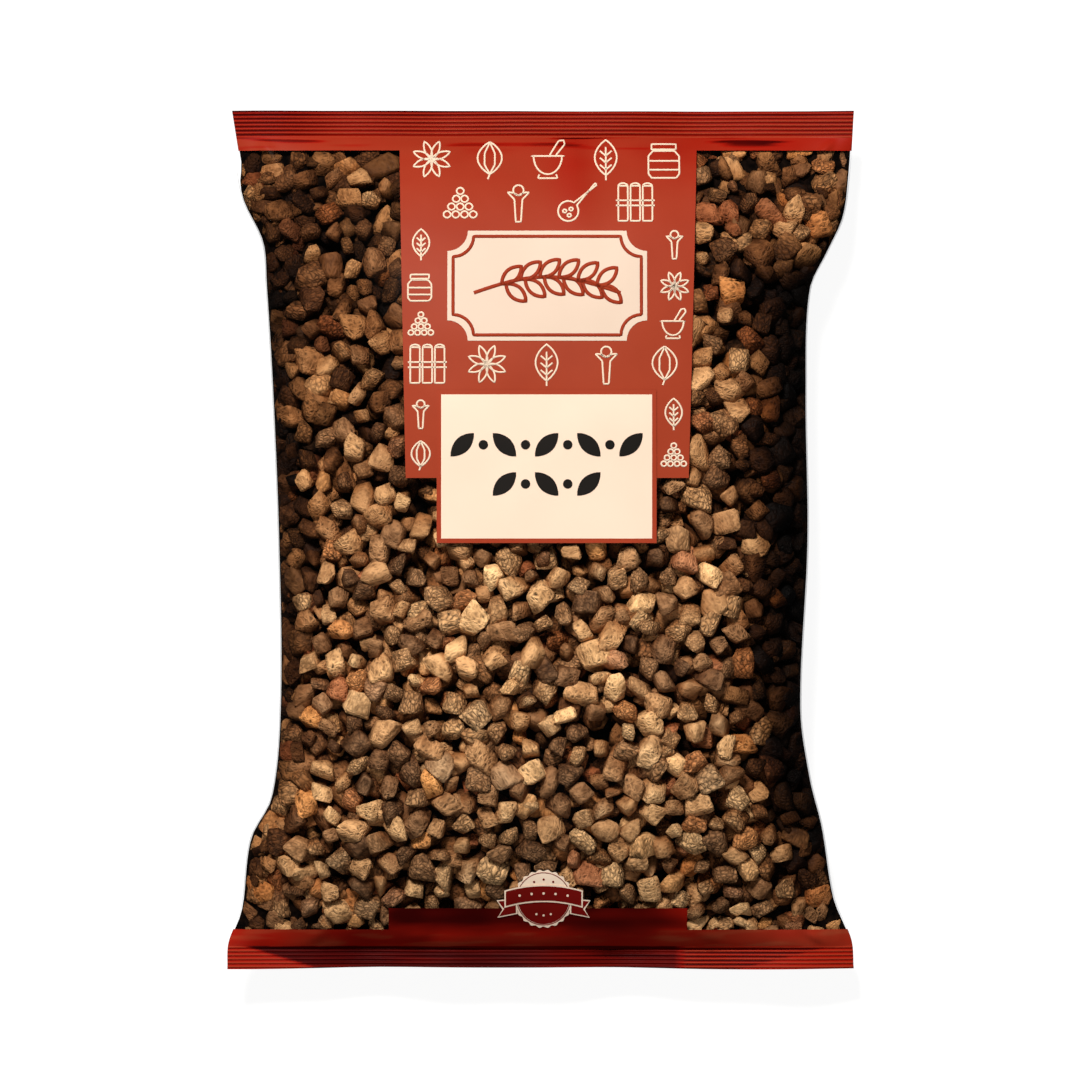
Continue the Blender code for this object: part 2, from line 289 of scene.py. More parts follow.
def run_tree(item, tree, values):
    """Run a node tree on an object and keep the result as its plain mesh."""
    modifier = item.modifiers.new(tree.name, "NODES")
    modifier.node_group = tree
    for socket in tree.interface.items_tree:
        if socket.in_out == "INPUT" and socket.name in values:
            modifier[socket.identifier] = values[socket.name]
    graph = bpy.context.evaluated_depsgraph_get()
    mesh = bpy.data.meshes.new_from_object(
        item.evaluated_get(graph), preserve_all_data_layers=True, depsgraph=graph)
    mesh.name = item.name
    item.modifiers.clear()
    if item.type == "MESH":
        item.data = mesh
        return item
    made = bpy.data.objects.new(item.name, mesh)
    pieces.objects.link(made)
    bpy.data.objects.remove(item)
    return made


def smooth_but_sharp(item, degrees):
    """Shade a piece smooth, but keep edges sharp that turn by more than some degrees."""
    item.data.shade_smooth()
    item.data.set_sharp_from_angle(angle=math.radians(degrees))


def finish_piece(piece, node):
    """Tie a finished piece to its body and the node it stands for."""
    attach(piece, BODY)
    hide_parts(node)
    count = sum(len(face.vertices) - 2 for face in piece.data.polygons)
    print(piece.name + ":", count, "triangles")


print("helpers ready")

# %% [markdown]
# Materials are built from code as well. A new material starts as one Principled shader, and the
# helpers below give it colour ramps, noise on the piece's own coordinates, and bumps.

# %% Helpers for materials
def new_material(name, **inputs):
    """Material with its tree and Principled shader, some of whose inputs are set."""
    material = bpy.data.materials.new(name)
    material.use_nodes = True
    shader = material.node_tree.nodes["Principled BSDF"]
    fill(material.node_tree, shader, {key.replace("_", " "): value for key, value in inputs.items()})
    return material, material.node_tree, shader


def object_noise(tree, scale, detail):
    """Noise on the piece's own coordinates, in metres."""
    place = add_node(tree, "ShaderNodeTexCoord").outputs["Object"]
    inputs = {"Scale": scale, "Detail": detail, "Vector": place}
    return add_node(tree, "ShaderNodeTexNoise", inputs).outputs["Fac"]


def ramp_of(tree, factor, stops):
    """Colour ramp over (position, colour) stops."""
    ramp = add_node(tree, "ShaderNodeValToRGB", {"Fac": factor})
    elements = ramp.color_ramp.elements
    while len(elements) < len(stops):
        elements.new(0.5)
    for element, (position, colour) in zip(elements, stops):
        element.position = position
        element.color = (*colour, 1.0)
    return ramp.outputs["Color"]


def range_of(tree, value, **ends):
    """Value moved from one range to another."""
    inputs = {key.replace("_", " "): end for key, end in ends.items()}
    return add_node(tree, "ShaderNodeMapRange", {"Value": value, **inputs}).outputs["Result"]


def bump_of(tree, height, strength, distance, shader):
    """Bump on a shader from a height."""
    bump = add_node(tree, "ShaderNodeBump", {"Strength": strength, "Distance": distance, "Height": height})
    tree.links.new(bump.outputs["Normal"], shader.inputs["Normal"])


def attribute_of(tree, name, output="Fac"):
    """Output of an attribute of the piece."""
    return add_node(tree, "ShaderNodeAttribute", attribute_name=name).outputs[output]


def blend_of(tree, factor, first, second, kind="MIX"):
    """Colour mixed from two colours or sockets."""
    inputs = {"Factor": factor, "A": first, "B": second}
    for key, value in inputs.items():
        if isinstance(value, tuple):
            inputs[key] = (*value, 1.0)
    return add_node(tree, "ShaderNodeMix", inputs, data_type="RGBA", blend_type=kind).outputs["Result"]


print("material helpers ready")

# %% [markdown]
# The photograph looks straight down from far away, so the camera has a long lens: near and far
# parts of the pouch keep the same scale. The key light comes from beyond the top seal, so every
# seed has a bright upper side and a dark lower one. The pale floor glows a little, as a light
# table does, so that it carries only a faint shadow, and it throws no light back on the pouch,
# so that the rims of the pouch stay dark.

# %% Camera and lights
CAMERA_HEIGHT = 2.0
PHOTO_WIDTH = 180.8 * MM
SENSOR = 36.0
WORLD_COLOUR = (1.0, 0.99, 0.98, 1.0)
WORLD_STRENGTH = 0.08


def on_stage(item):
    """The object, put in the scene beside the pieces."""
    bpy.context.scene.collection.objects.link(item)
    return item


def make_camera():
    """Camera over the middle of the pouch."""
    camera = on_stage(bpy.data.objects.new("camera", bpy.data.cameras.new("camera")))
    camera.data.sensor_width = SENSOR
    camera.data.lens = SENSOR * (CAMERA_HEIGHT - FOLD_HEIGHT_AT_MIDDLE) / PHOTO_WIDTH
    camera.location = (-0.1 * MM, 0.0, CAMERA_HEIGHT)
    bpy.context.scene.camera = camera
    print("camera lens in mm:", round(camera.data.lens, 1))


def make_light(name, place, size, power, colour):
    """Square soft light that looks at the pouch."""
    data = bpy.data.lights.new(name, "AREA")
    data.shape = "SQUARE"
    data.size = size
    data.energy = power
    data.color = colour
    light = on_stage(bpy.data.objects.new(name, data))
    light.location = place
    light.rotation_euler = (-light.location).to_track_quat("-Z", "Y").to_euler()


def make_world():
    """Weak even light from all round."""
    world = bpy.data.worlds.new("studio")
    bpy.context.scene.world = world
    world.use_nodes = True
    sky = world.node_tree.nodes["Background"]
    fill(world.node_tree, sky, {"Color": WORLD_COLOUR, "Strength": WORLD_STRENGTH})


make_world()
bpy.context.scene.view_settings.view_transform = "Standard"
make_camera()
make_light("key", (-0.40, 1.30, 1.75), 0.42, 78.0, (1.0, 0.96, 0.91))
make_light("front fill", (0.00, -0.90, 1.40), 0.60, 5.0, (1.0, 0.97, 0.94))

# %% Glowing floor
FLOOR_SIZE = 3.0
FLOOR_GLOW = 0.91


def make_floor():
    """Pale floor, part of the stage."""
    shape = bmesh.new()
    bmesh.ops.create_grid(shape, x_segments=1, y_segments=1, size=FLOOR_SIZE / 2.0)
    mesh = bpy.data.meshes.new("floor")
    shape.to_mesh(mesh)
    shape.free()
    floor = on_stage(bpy.data.objects.new("floor", mesh))
    material, tree, shader = new_material(
        "floor paper", Roughness=0.9, Emission_Color=(1.0, 1.0, 1.0, 1.0), Emission_Strength=FLOOR_GLOW)
    grain = add_node(tree, "ShaderNodeTexNoise", {"Scale": 220.0}).outputs["Fac"]
    paper = ramp_of(tree, grain, [(0.0, (0.18, 0.18, 0.18)), (1.0, (0.20, 0.20, 0.20))])
    tree.links.new(paper, shader.inputs["Base Color"])
    mesh.materials.append(material)
    floor.visible_diffuse = False
    floor.visible_glossy = False


make_floor()
print("floor glow:", FLOOR_GLOW)

# %% [markdown]
# Film is the hardest finish here, because most of it can't be seen. Clear film is mixed from a
# transparent shader and a thin gloss whose share follows the Fresnel law, with a trace of haze.
# Printed film is opaque: red ink under the same gloss, a little uneven, as ink on film is. Its red goes
# through scarlet to maroon by painted shade, where the film's painted print shade says so.

# %% Film materials
PRINT_RED = (0.275, 0.038, 0.0155)
PRINT_RED_DEEP = (0.255, 0.034, 0.0140)
# Scarlet and maroon are the red print darkened by painted shade.
PRINT_SCARLET = (0.250, 0.0060, 0.0020)
PRINT_MAROON = (0.038, 0.0003, 0.0003)
CREAM = (0.70, 0.555, 0.425)
CREAM_DEEP = (0.68, 0.53, 0.40)
FILM_TINT = (0.975, 0.975, 0.98)


def printed_material(name, colour, deep, roughness=0.5, darker=()):
    """Opaque ink on film, slightly uneven, and darker by the film's painted shade attribute where asked.
    """
    material, tree, shader = new_material(name, Roughness=roughness, Specular_IOR_Level=0.04)
    ink = ramp_of(tree, object_noise(tree, 90.0, 3.0), [(0.30, deep), (0.65, colour)])
    for low, high, tone in darker:
        share = range_of(tree, attribute_of(tree, "ink_depth"), From_Min=low, From_Max=high)
        ink = blend_of(tree, share, ink, tone)
    tree.links.new(ink, shader.inputs["Base Color"])
    bump_of(tree, object_noise(tree, 700.0, 2.0), 0.12, 0.1 * MM, shader)
    return material


def see_through(tree, share, tint, shader):
    """Mix a shader by its share with clear film of a tint, and give it to the material."""
    clear = add_node(tree, "ShaderNodeBsdfTransparent", {"Color": (*tint, 1.0)}).outputs[0]
    mix = add_node(tree, "ShaderNodeMixShader", {"Fac": share, 1: clear, 2: shader.outputs[0]})
    tree.links.new(mix.outputs[0], tree.nodes["Material Output"].inputs["Surface"])


def clear_material():
    """Thin clear film: mostly transparent, with a little gloss and haze."""
    material, tree, shader = new_material(
        "clear film", Base_Color=(0.06, 0.055, 0.05, 1.0), Roughness=0.20)
    edge = add_node(tree, "ShaderNodeFresnel", {"IOR": 1.25}).outputs[0]
    see_through(tree, range_of(tree, edge, To_Max=0.30), FILM_TINT, shader)
    bump_of(tree, object_noise(tree, 160.0, 3.0), 0.3, 0.3 * MM, shader)
    return material


clear_film = clear_material()
red_print = printed_material("red print", PRINT_RED, PRINT_RED_DEEP, 0.46,
                             ((0.0, 0.5, PRINT_SCARLET), (0.5, 1.0, PRINT_MAROON)))
cream_print = printed_material("cream print", CREAM, CREAM_DEEP, 0.42)
print("film materials:", clear_film.name, red_print.name, cream_print.name)

# %% [markdown]
# The film is a loft: rings of points that run over the front and back under the pouch. Rows are
# set close together in the seals, where the crimp needs them, and two columns of the front
# follow the edges of the printed panel, so the print ends on clean lines without any texture.

# %% Rows, columns and edges of the print
BAND_TOP = 65.2 * MM
BAND_BOTTOM = -65.2 * MM
BLOCK_TOP = -61.5 * MM
PANEL_FOOT = 10.3 * MM
PANEL_LEFT = [(BAND_TOP, -23.6 * MM), (PANEL_FOOT, -22.4 * MM), (BLOCK_TOP, -25.4 * MM)]
PANEL_RIGHT = [(BAND_TOP, 26.1 * MM), (PANEL_FOOT, 24.6 * MM), (BLOCK_TOP, 24.5 * MM)]
SIDE_COLUMNS = 42
PANEL_COLUMNS = 44
STEPS_PER_RIB = 8
ROW_STEP = 0.9 * MM
NEAR_SEAL = 1.4 * MM
BARE_EDGE = 0.8 * MM
BARE_EDGE_FOOT = 62.0 * MM


def along_line(points, y):
    """Value at y on straight lines through (y, value) points, held level past the ends."""
    if y >= points[0][0]:
        return points[0][1]
    for (y0, value0), (y1, value1) in zip(points, points[1:]):
        if y >= y1:
            return value0 + (value1 - value0) * (y - y0) / (y1 - y0)
    return points[-1][1]


def even_rows(low, high, step):
    """Evenly spaced places from low to high, both included."""
    count = max(1, round((high - low) / step))
    return [low + (high - low) * index / count for index in range(count + 1)]


def film_rows():
    """Rows up the film, with one on every edge of the print."""
    rib_step = RIB_PITCH / STEPS_PER_RIB
    stops = [
        (-LENGTH / 2.0, rib_step),
        (CHAMBER_BOTTOM + NEAR_SEAL, ROW_STEP / 3.0),
        (BAND_BOTTOM, ROW_STEP / 2.0),
        (BLOCK_TOP, ROW_STEP),
        (PANEL_FOOT, ROW_STEP),
        (BAND_TOP, ROW_STEP / 3.0),
        (CHAMBER_TOP - NEAR_SEAL, rib_step),
        (LENGTH / 2.0, 0.0),
    ]
    rows = []
    for (low, step), (high, unused) in zip(stops, stops[1:]):
        rows += even_rows(low, high, step)[:-1]
    return rows + [LENGTH / 2.0]


def column_turns(y):
    """Turns from the left fold to the right one, with columns on the panel's edges."""
    edges = [math.acos(-across_at(along_line(line, y), y)) / math.pi for line in (PANEL_LEFT, PANEL_RIGHT)]
    marks = [0.0, *edges, 1.0]
    turns = []
    for low, high, count in zip(marks, marks[1:], (SIDE_COLUMNS, PANEL_COLUMNS, SIDE_COLUMNS)):
        turns += [low + (high - low) * index / count for index in range(count)]
    return turns + [1.0]


def is_printed(x, y, front):
    """Whether the film is printed at a place."""
    if y > BARE_EDGE_FOOT and x < folds(y)[0] + BARE_EDGE:
        return False
    if y > BAND_TOP or y < BAND_BOTTOM:
        return True
    inside = along_line(PANEL_LEFT, y) < x < along_line(PANEL_RIGHT, y)
    return front and inside and (y > PANEL_FOOT or y < BLOCK_TOP)


print("rows:", len(film_rows()), "columns of the front:", len(column_turns(0.0)))

# %% [markdown]
# Slack film gathers in single pleats that run out from a seal. Each is a ridge with a round
# section that widens and sinks as it leaves the seal. The cut ends of the film aren't quite
# straight either, so they wave by half a millimetre.

# %% Pleats and wavy ends
END_WAVE = 0.5 * MM
# Each pleat has its start across, the end it starts from, its lean, length, width and height,
# in millimetres but for the end and the lean.
PLEATS = [
    (4.5, 1, 0.05, 21.0, 3.4, 0.95),
    (-14.0, 1, -0.25, 13.0, 2.2, 0.40),
    (21.0, 1, 0.30, 12.0, 2.4, 0.50),
    (-46.5, 1, 0.45, 10.0, 1.6, 0.60),
    (49.0, 1, -0.70, 8.0, 1.2, 0.80),
    (-35.0, 1, 0.15, 9.0, 2.0, 0.35),
    (-21.0, -1, 0.30, 9.0, 2.4, 0.55),
    (11.0, -1, -0.20, 8.0, 2.6, 0.50),
    (29.0, -1, -0.60, 9.0, 1.5, 0.60),
    (-38.0, -1, 0.40, 8.0, 1.6, 0.50),
    (47.0, -1, -0.80, 7.0, 1.3, 0.80),
]


def pleat_lift(x, y):
    """Outward lift of the film where single pleats run from a seal."""
    lift = 0.0
    for start, end, lean, length, width, height in PLEATS:
        away = ((TOP_SEAL_LINE if end > 0 else BOTTOM_SEAL_LINE) - y) * end
        along = away / (length * MM)
        if 0.0 <= along <= 1.0:
            aside = (x - start * MM - lean * away) / (width * MM * (0.5 + along))
            lift += height * MM * rise(0.0, 2.0, away) * (1.0 - along) ** 1.3 * math.exp(-aside * aside)
    return lift


def end_wave(x, y):
    """How far the cut end of the film draws in at x, where its seal isn't quite straight."""
    turn = x / (17.0 * MM) + (0.4 if y > 0.0 else 2.2)
    depth = END_WAVE * (0.5 + 0.35 * math.sin(turn) + 0.15 * math.sin(2.7 * turn))
    return -math.copysign(rise(64.0, 72.0, abs(y)) * depth * (1.0 if y < 0.0 else 0.4), y)


print("pleats:", len(PLEATS))

# %% [markdown]
# The print isn't one red, because light and shade are painted into it. It is painted darker in the grooves
# of the crimp and over the foot of the pouch, where less light reaches it, and painted lighter in two
# wedges at the bottom corners, where the film folds up to the light. One function gives this painted shade
# for any place on the film, from 0 for rust red over 0.5 for scarlet to 1 for maroon.

# %% Painted shade of the red print
def rib_groove(y):
    """1 in the grooves of the crimp and 0 on its ribs and off it."""
    past = max(y - TOP_SEAL_LINE, BOTTOM_SEAL_LINE - y)
    return 0.5 - 0.5 * math.sin(TURN * past / RIB_PITCH) if past > 0.0 else 0.0


def patches(x, y, width, height, layer):
    """Noise from -1 to 1 in flat patches of a width and height in millimetres."""
    return noise.noise(Vector((x / (width * MM), y / (height * MM), layer)))


def upper_painted_shade(x, y, groove, cloud, streak):
    """Painted shade in the top crimp and the panel: darker by the seal, in tucks and to the right."""
    if y > TOP_SEAL_LINE:
        corner = 1.0 - rise(-47.0, -31.0, x)
        return 0.05 + 0.22 * corner + 0.30 * rise(70.6, 71.8, y) + (0.55 + 0.40 * streak) * groove
    near = step_between(55.0 * MM, TOP_SEAL_LINE, y)
    high = 0.13 * rise(34.0, 60.0, y)
    right = 0.20 * rise(5.0, 32.0, x) * near
    fold = math.exp(-((x - 5.5 * MM) / (4.0 * MM)) ** 2) * rise(47.0, 60.0, y)
    tucks = step_between(0.54, 0.68, streak) * step_between(BAND_TOP - 0.5 * MM, 66.6 * MM, y)
    return high + right + 0.20 * cloud * near + 0.20 * fold + 0.60 * tucks


def foot_painted_shade(x, y, cloud):
    """Painted shade in the bottom band: darkest in the block, with painted light at the right end and
    painted sheens.
    """
    middle = rise(-32.0, -22.0, x) * (1.0 - rise(14.0, 32.0, x))
    block = rise(-66.5, -63.5, y)
    sheen = step_between(0.05, 0.40, patches(x, y, 6.5, 1.1, 9.0)) * (1.0 - block)
    light_end = rise(22.0, 36.0, x)
    return 0.46 + 0.52 * block * middle - 0.18 * light_end + 0.40 * (cloud - 0.5) - 0.26 * sheen


def bottom_crimp_painted_shade(x, y, groove, streak):
    """Painted shade in the bottom crimp: dark, with painted light in two wedges and on its ribbed right
    end.
    """
    left_wedge = 1.0 - rise(-0.3, 0.3, y + 67.9 * MM + 0.313 * (x + 50.0 * MM))
    right_wedge = 1.0 - rise(-0.3, 0.3, y + 72.0 * MM - 0.255 * (x - 33.0 * MM))
    wedge = max(left_wedge, right_wedge)
    bright = rise(22.5, 24.5, x)
    smooth = rise(-16.0, -6.0, x) * (1.0 - bright)
    groove *= 1.0 - 0.75 * smooth
    plain = 0.96 - 0.78 * bright - 0.04 * smooth + (0.10 + 0.80 * bright) * groove
    plain += 0.36 * (streak - 0.5)
    return plain * (1.0 - wedge) + (0.20 + 0.35 * groove) * wedge


def ink_depth(x, y):
    """How far painted shade turns the print from rust red over scarlet to maroon at a place, from 0 to 1.
    """
    cloud = 0.5 + 0.5 * patches(x, y, 9.0, 2.2, 0.0)
    streak = 0.5 + 0.5 * patches(x, y, 14.0, 0.7, 4.0)
    if y > 0.0:
        depth = upper_painted_shade(x, y, rib_groove(y), cloud, streak)
    elif y > BOTTOM_SEAL_LINE:
        depth = foot_painted_shade(x, y, cloud)
    else:
        depth = bottom_crimp_painted_shade(x, y, rib_groove(y), streak)
    return min(max(depth, 0.0), 1.0)


print("painted print shade over the foot:", round(ink_depth(0.0, -64.0 * MM), 2))

# %% Film body
def tube_faces(rows, around):
    """Squares of a tube of rows of points, and its two ends."""
    faces = []
    for row in range(rows - 1):
        for column in range(around):
            after = (column + 1) % around
            faces.append((row * around + column, row * around + after,
                          (row + 1) * around + after, (row + 1) * around + column))
    faces.append(tuple(range(around)))
    faces.append(tuple((rows - 1) * around + column for column in range(around)))
    return faces


def make_film_body():
    """Closed film, with its print as a mark on each face and its painted print shade on each point."""
    rows = film_rows()
    columns = 2 * SIDE_COLUMNS + PANEL_COLUMNS
    around = 2 * columns
    points = []
    for y in rows:
        left, right = folds(y)
        turns = column_turns(y)
        for column in range(around):
            front = column <= columns
            turn = turns[column] if front else 2.0 - column / columns
            across = -math.cos(math.pi * turn)
            x = (left + right) / 2.0 + across * (right - left) / 2.0
            height = film_height(across, y, 1 if front else -1)
            if front and column > 0:
                height += pleat_lift(x, y)
            points.append((x, y + end_wave(x, y), height))
    faces = tube_faces(len(rows), around)
    printed = []
    for index, corners in enumerate(faces[:-2]):
        x = sum(points[corner][0] for corner in corners) / 4.0
        y = sum(points[corner][1] for corner in corners) / 4.0
        printed.append(is_printed(x, y, index % around < columns))
    film = mesh_object("film", points, faces)
    keep_values(film, "printed", "BOOLEAN", "FACE", printed + [True, True])
    keep_values(film, "ink_depth", "FLOAT", "POINT", [ink_depth(x, y) for x, y, z in points])
    return film


film = make_film_body()
print("film:", len(film.data.vertices), "points")

# %% [markdown]
# Now the relief of the film. Hot jaws press parallel ribs into each seal, and from the seal the
# slack of the film runs out in creases that fade within a few centimetres. A node tree lifts each
# point by a wave inside the seals, by stretched noise near them and by soft noise between them,
# then gives out the materials.

# %% Film relief as a node tree
RIB_HEIGHT = 0.13 * MM
CREASE_DEPTH = 0.55 * MM
CREASE_REACH = 24.0 * MM
CREASE_GROWS_OVER = 2.5 * MM
DENT_DEPTH = 0.35 * MM
DENT_GROWS_OVER = 12.0 * MM
FLAT_BELOW = 3.0 * MM
FLAT_TO_SLACK = 6.0 * MM


def noise_field(tree, vector, stretch, detail):
    """Noise from -1 to 1 on a stretched vector."""
    sides = {0: vector, 1: stretch}
    scaled = add_node(tree, "ShaderNodeVectorMath", sides, operation="MULTIPLY").outputs[0]
    inputs = {"Scale": 1.0, "Detail": detail, "Vector": scaled}
    texture = add_node(tree, "ShaderNodeTexNoise", inputs)
    return product(tree, math_node(tree, "SUBTRACT", texture.outputs[0], 0.5), 2.0)


def relief_tree():
    """Tree that crimps the seals, creases the film beside them and sets its materials."""
    tree, given, result = new_tree("film relief", [
        ("Rib Pitch", "Float", RIB_PITCH),
        ("Rib Height", "Float", RIB_HEIGHT),
        ("Top Seal Line", "Float", TOP_SEAL_LINE),
        ("Bottom Seal Line", "Float", BOTTOM_SEAL_LINE),
        ("Crease Depth", "Float", CREASE_DEPTH),
        ("Crease Reach", "Float", CREASE_REACH),
        ("Dent Depth", "Float", DENT_DEPTH),
        ("Clear Film", "Material", None),
        ("Printed Film", "Material", None),
    ])
    calc = functools.partial(math_node, tree)
    place = add_node(tree, "GeometryNodeInputPosition").outputs[0]
    split = add_node(tree, "ShaderNodeSeparateXYZ", {0: place}).outputs
    past_top = calc("SUBTRACT", split["Y"], given["Top Seal Line"])
    past = calc("MAXIMUM", past_top, calc("SUBTRACT", given["Bottom Seal Line"], split["Y"]))
    in_seal = calc("DIVIDE", past, 0.3 * MM, clamp=True)
    ribs = product(tree, calc("DIVIDE", past, given["Rib Pitch"]), TURN)
    crimp = product(tree, calc("SINE", ribs), given["Rib Height"], in_seal)
    before = product(tree, past, -1.0)
    fade = calc("SUBTRACT", 1.0, calc("DIVIDE", before, given["Crease Reach"]), clamp=True)
    grow = calc("DIVIDE", before, CREASE_GROWS_OVER, clamp=True)
    near_seal = product(tree, calc("POWER", fade, 1.6), grow)
    creases = noise_field(tree, place, (230.0, 55.0, 0.0), 2.0)
    crease = product(tree, creases, near_seal, given["Crease Depth"])
    open_film = calc("DIVIDE", before, DENT_GROWS_OVER, clamp=True)
    soft = noise_field(tree, place, (70.0, 60.0, 40.0), 1.0)
    dent = product(tree, soft, open_film, given["Dent Depth"])
    above = calc("DIVIDE", calc("SUBTRACT", split["Z"], FLAT_BELOW), FLAT_TO_SLACK, clamp=True)
    slack = product(tree, calc("ADD", crease, dent), above)
    lift = add_node(tree, "ShaderNodeCombineXYZ", {"Z": calc("ADD", crimp, slack)}).outputs[0]
    move = add_node(tree, "GeometryNodeSetPosition", {"Geometry": given["Geometry"], "Offset": lift})
    bare = set_material(tree, realized(tree, move.outputs[0]), given["Clear Film"])
    tree.links.new(set_material(tree, bare, given["Printed Film"], "printed"), result)
    return tree


film = run_tree(film, relief_tree(), {"Clear Film": clear_film, "Printed Film": red_print})
smooth_but_sharp(film, 50.0)
finish_piece(film, "pouch_film")

# %% [markdown]
# The pouch holds loose cardamom seeds. A real seed is a blunt wedge about 4 mm long, flattened
# where it grew against its neighbours, with a wrinkled coat. Fourteen kinds are enough, because
# turning and scaling hides the repeats. Each is the block that a few random planes cut out, with
# its edges rounded: every flat shrinks towards its own middle, and a hull closes round them all.
# A seed keeps its own coordinates for the pattern of its coat.

# %% Seed kinds
SEED_KINDS = 14
SEED_SHAPE = (2.20, 1.78, 1.46)
SEED_STRETCH = (0.80, 1.24)
DENT_SHARE = 0.10
DENTS_ACROSS = 1.9
BLOCK_WAYS = [(1, 0, 0), (-1, 0, 0), (0, 1, 0), (0, -1, 0), (0, 0, 1), (0, 0, -1)]
BLOCK_JITTER = 0.22
EXTRA_CUTS = 5
CUT_REACH = (0.74, 0.98)
EDGE_ROUND = (0.13, 0.33)
LEAST_EDGE = 0.13
LEAST_CROSSING = 0.05
BEHIND = 0.001
SHAPE_SEED = 11


def random_way(draw):
    """Random direction."""
    return Vector([draw.gauss(0.0, 1.0) for axis in range(3)]).normalized()


def cut_block(planes):
    """Corners of each flat of the block that lies behind all of the planes."""
    flats = [[] for plane in planes]
    for trio in itertools.combinations(range(len(planes)), 3):
        rows = Matrix([planes[index][0] for index in trio])
        if abs(rows.determinant()) < LEAST_CROSSING:
            continue
        corner = rows.inverted() @ Vector([planes[index][1] for index in trio])
        if all(way.dot(corner) < distance + BEHIND for way, distance in planes):
            for index in trio:
                flats[index].append(corner)
    return [flat for flat in flats if len(flat) > 2]


def rounded_block(planes, roundness):
    """Hull round the flats of a block, each shrunk towards its middle."""
    shape = bmesh.new()
    for flat in cut_block(planes):
        middle = sum(flat, Vector()) / len(flat)
        for corner in flat:
            shape.verts.new(corner.lerp(middle, roundness))
    bmesh.ops.remove_doubles(shape, verts=shape.verts[:], dist=LEAST_EDGE)
    hull = bmesh.ops.convex_hull(shape, input=shape.verts[:])
    inner = hull["geom_interior"] + hull["geom_unused"]
    spare = [item for item in inner if isinstance(item, bmesh.types.BMVert)]
    bmesh.ops.delete(shape, geom=spare, context="VERTS")
    bmesh.ops.recalc_face_normals(shape, faces=shape.faces[:])
    return shape


def make_seed_kind(index, draw):
    """One kind of seed, hidden, with its coordinates in millimetres kept as an attribute."""
    ways = [(Vector(way) + BLOCK_JITTER * random_way(draw)).normalized() for way in BLOCK_WAYS]
    ways += [random_way(draw) for cut in range(EXTRA_CUTS)]
    planes = [(way, draw.uniform(*CUT_REACH)) for way in ways]
    shape = rounded_block(planes, draw.uniform(*EDGE_ROUND))
    stretch = [side * draw.uniform(*SEED_STRETCH) for side in SEED_SHAPE]
    for point in shape.verts:
        dent = 1.0 + DENT_SHARE * noise.noise(point.co * DENTS_ACROSS + Vector((index * 5.0, 0.0, 0.0)))
        point.co = Vector([point.co[axis] * dent * stretch[axis] * MM for axis in range(3)])
    mesh = bpy.data.meshes.new("seed kind %d" % index)
    shape.to_mesh(mesh)
    shape.free()
    mesh.shade_smooth()
    places = mesh.attributes.new("seed_place", "FLOAT_VECTOR", "POINT")
    for point, place in zip(mesh.vertices, places.data):
        place.vector = point.co / MM
    return bpy.data.objects.new(mesh.name, mesh)


seed_draw = random.Random(SHAPE_SEED)
seed_kinds = bpy.data.collections.new("seed kinds")
for number in range(SEED_KINDS):
    seed_kinds.objects.link(make_seed_kind(number, seed_draw))

# %% [markdown]
# The seed coat is a fine net of wrinkles, with painted shade in its low parts and painted light on its
# high parts. On some seeds it shows as pale knobs between dark seams, on others as dark pits between pale
# ridges, and some are much smoother. The pattern is made from the seed's kept coordinates, so it turns
# with each seed, and a random number on each seed picks its colour and moves the pattern along, so that no
# two seeds look alike. More numbers of its own come from that one: each is the part after the point of the
# number times a factor.

# %% Seed coat material
SEED_TONES = [
    (0.00, (0.090, 0.052, 0.031)),
    (0.14, (0.190, 0.107, 0.056)),
    (0.32, (0.330, 0.193, 0.098)),
    (0.56, (0.470, 0.295, 0.151)),
    (0.76, (0.600, 0.412, 0.222)),
    (0.84, (0.350, 0.240, 0.145)),
    (0.90, (0.340, 0.130, 0.064)),
    (0.95, (0.620, 0.310, 0.110)),
    (1.00, (0.690, 0.490, 0.270)),
]
WARM_BROWN = (0.36, 0.20, 0.098)
# Painted shade in the low parts of the wrinkles and painted light on their high parts.
WRINKLE_LIGHT_AND_SHADE = [(0.30, (0.12, 0.12, 0.12)), (0.50, (0.94, 0.86, 0.79)), (0.76, (1.60, 1.48, 1.34))]
SMOOTH_TONE = (1.00, 0.92, 0.84)
BLOTCH_TONES = [(0.36, (0.70, 0.64, 0.58)), (0.60, (1.22, 1.20, 1.16))]
SHADE_TONES = [
    (0.00, (0.0, 0.0, 0.0)),
    (0.12, (0.105, 0.065, 0.042)),
    (0.35, (0.43, 0.315, 0.24)),
    (1.00, (1.0, 1.0, 1.0)),
]
WRINKLE_SIZE = 0.62
WRINKLE_BUMP = 0.45 * MM
SHARE_OF_KNOBS = 0.45


def own_number(tree, tint, factor):
    """One more number from 0 to 1 for each seed, made from its random number."""
    return math_node(tree, "FRACT", product(tree, tint, factor))


def times_plus(tree, first, second, third):
    """Vector times a vector plus a third one."""
    inputs = {0: first, 1: second, 2: third}
    return add_node(tree, "ShaderNodeVectorMath", inputs, operation="MULTIPLY_ADD").outputs[0]


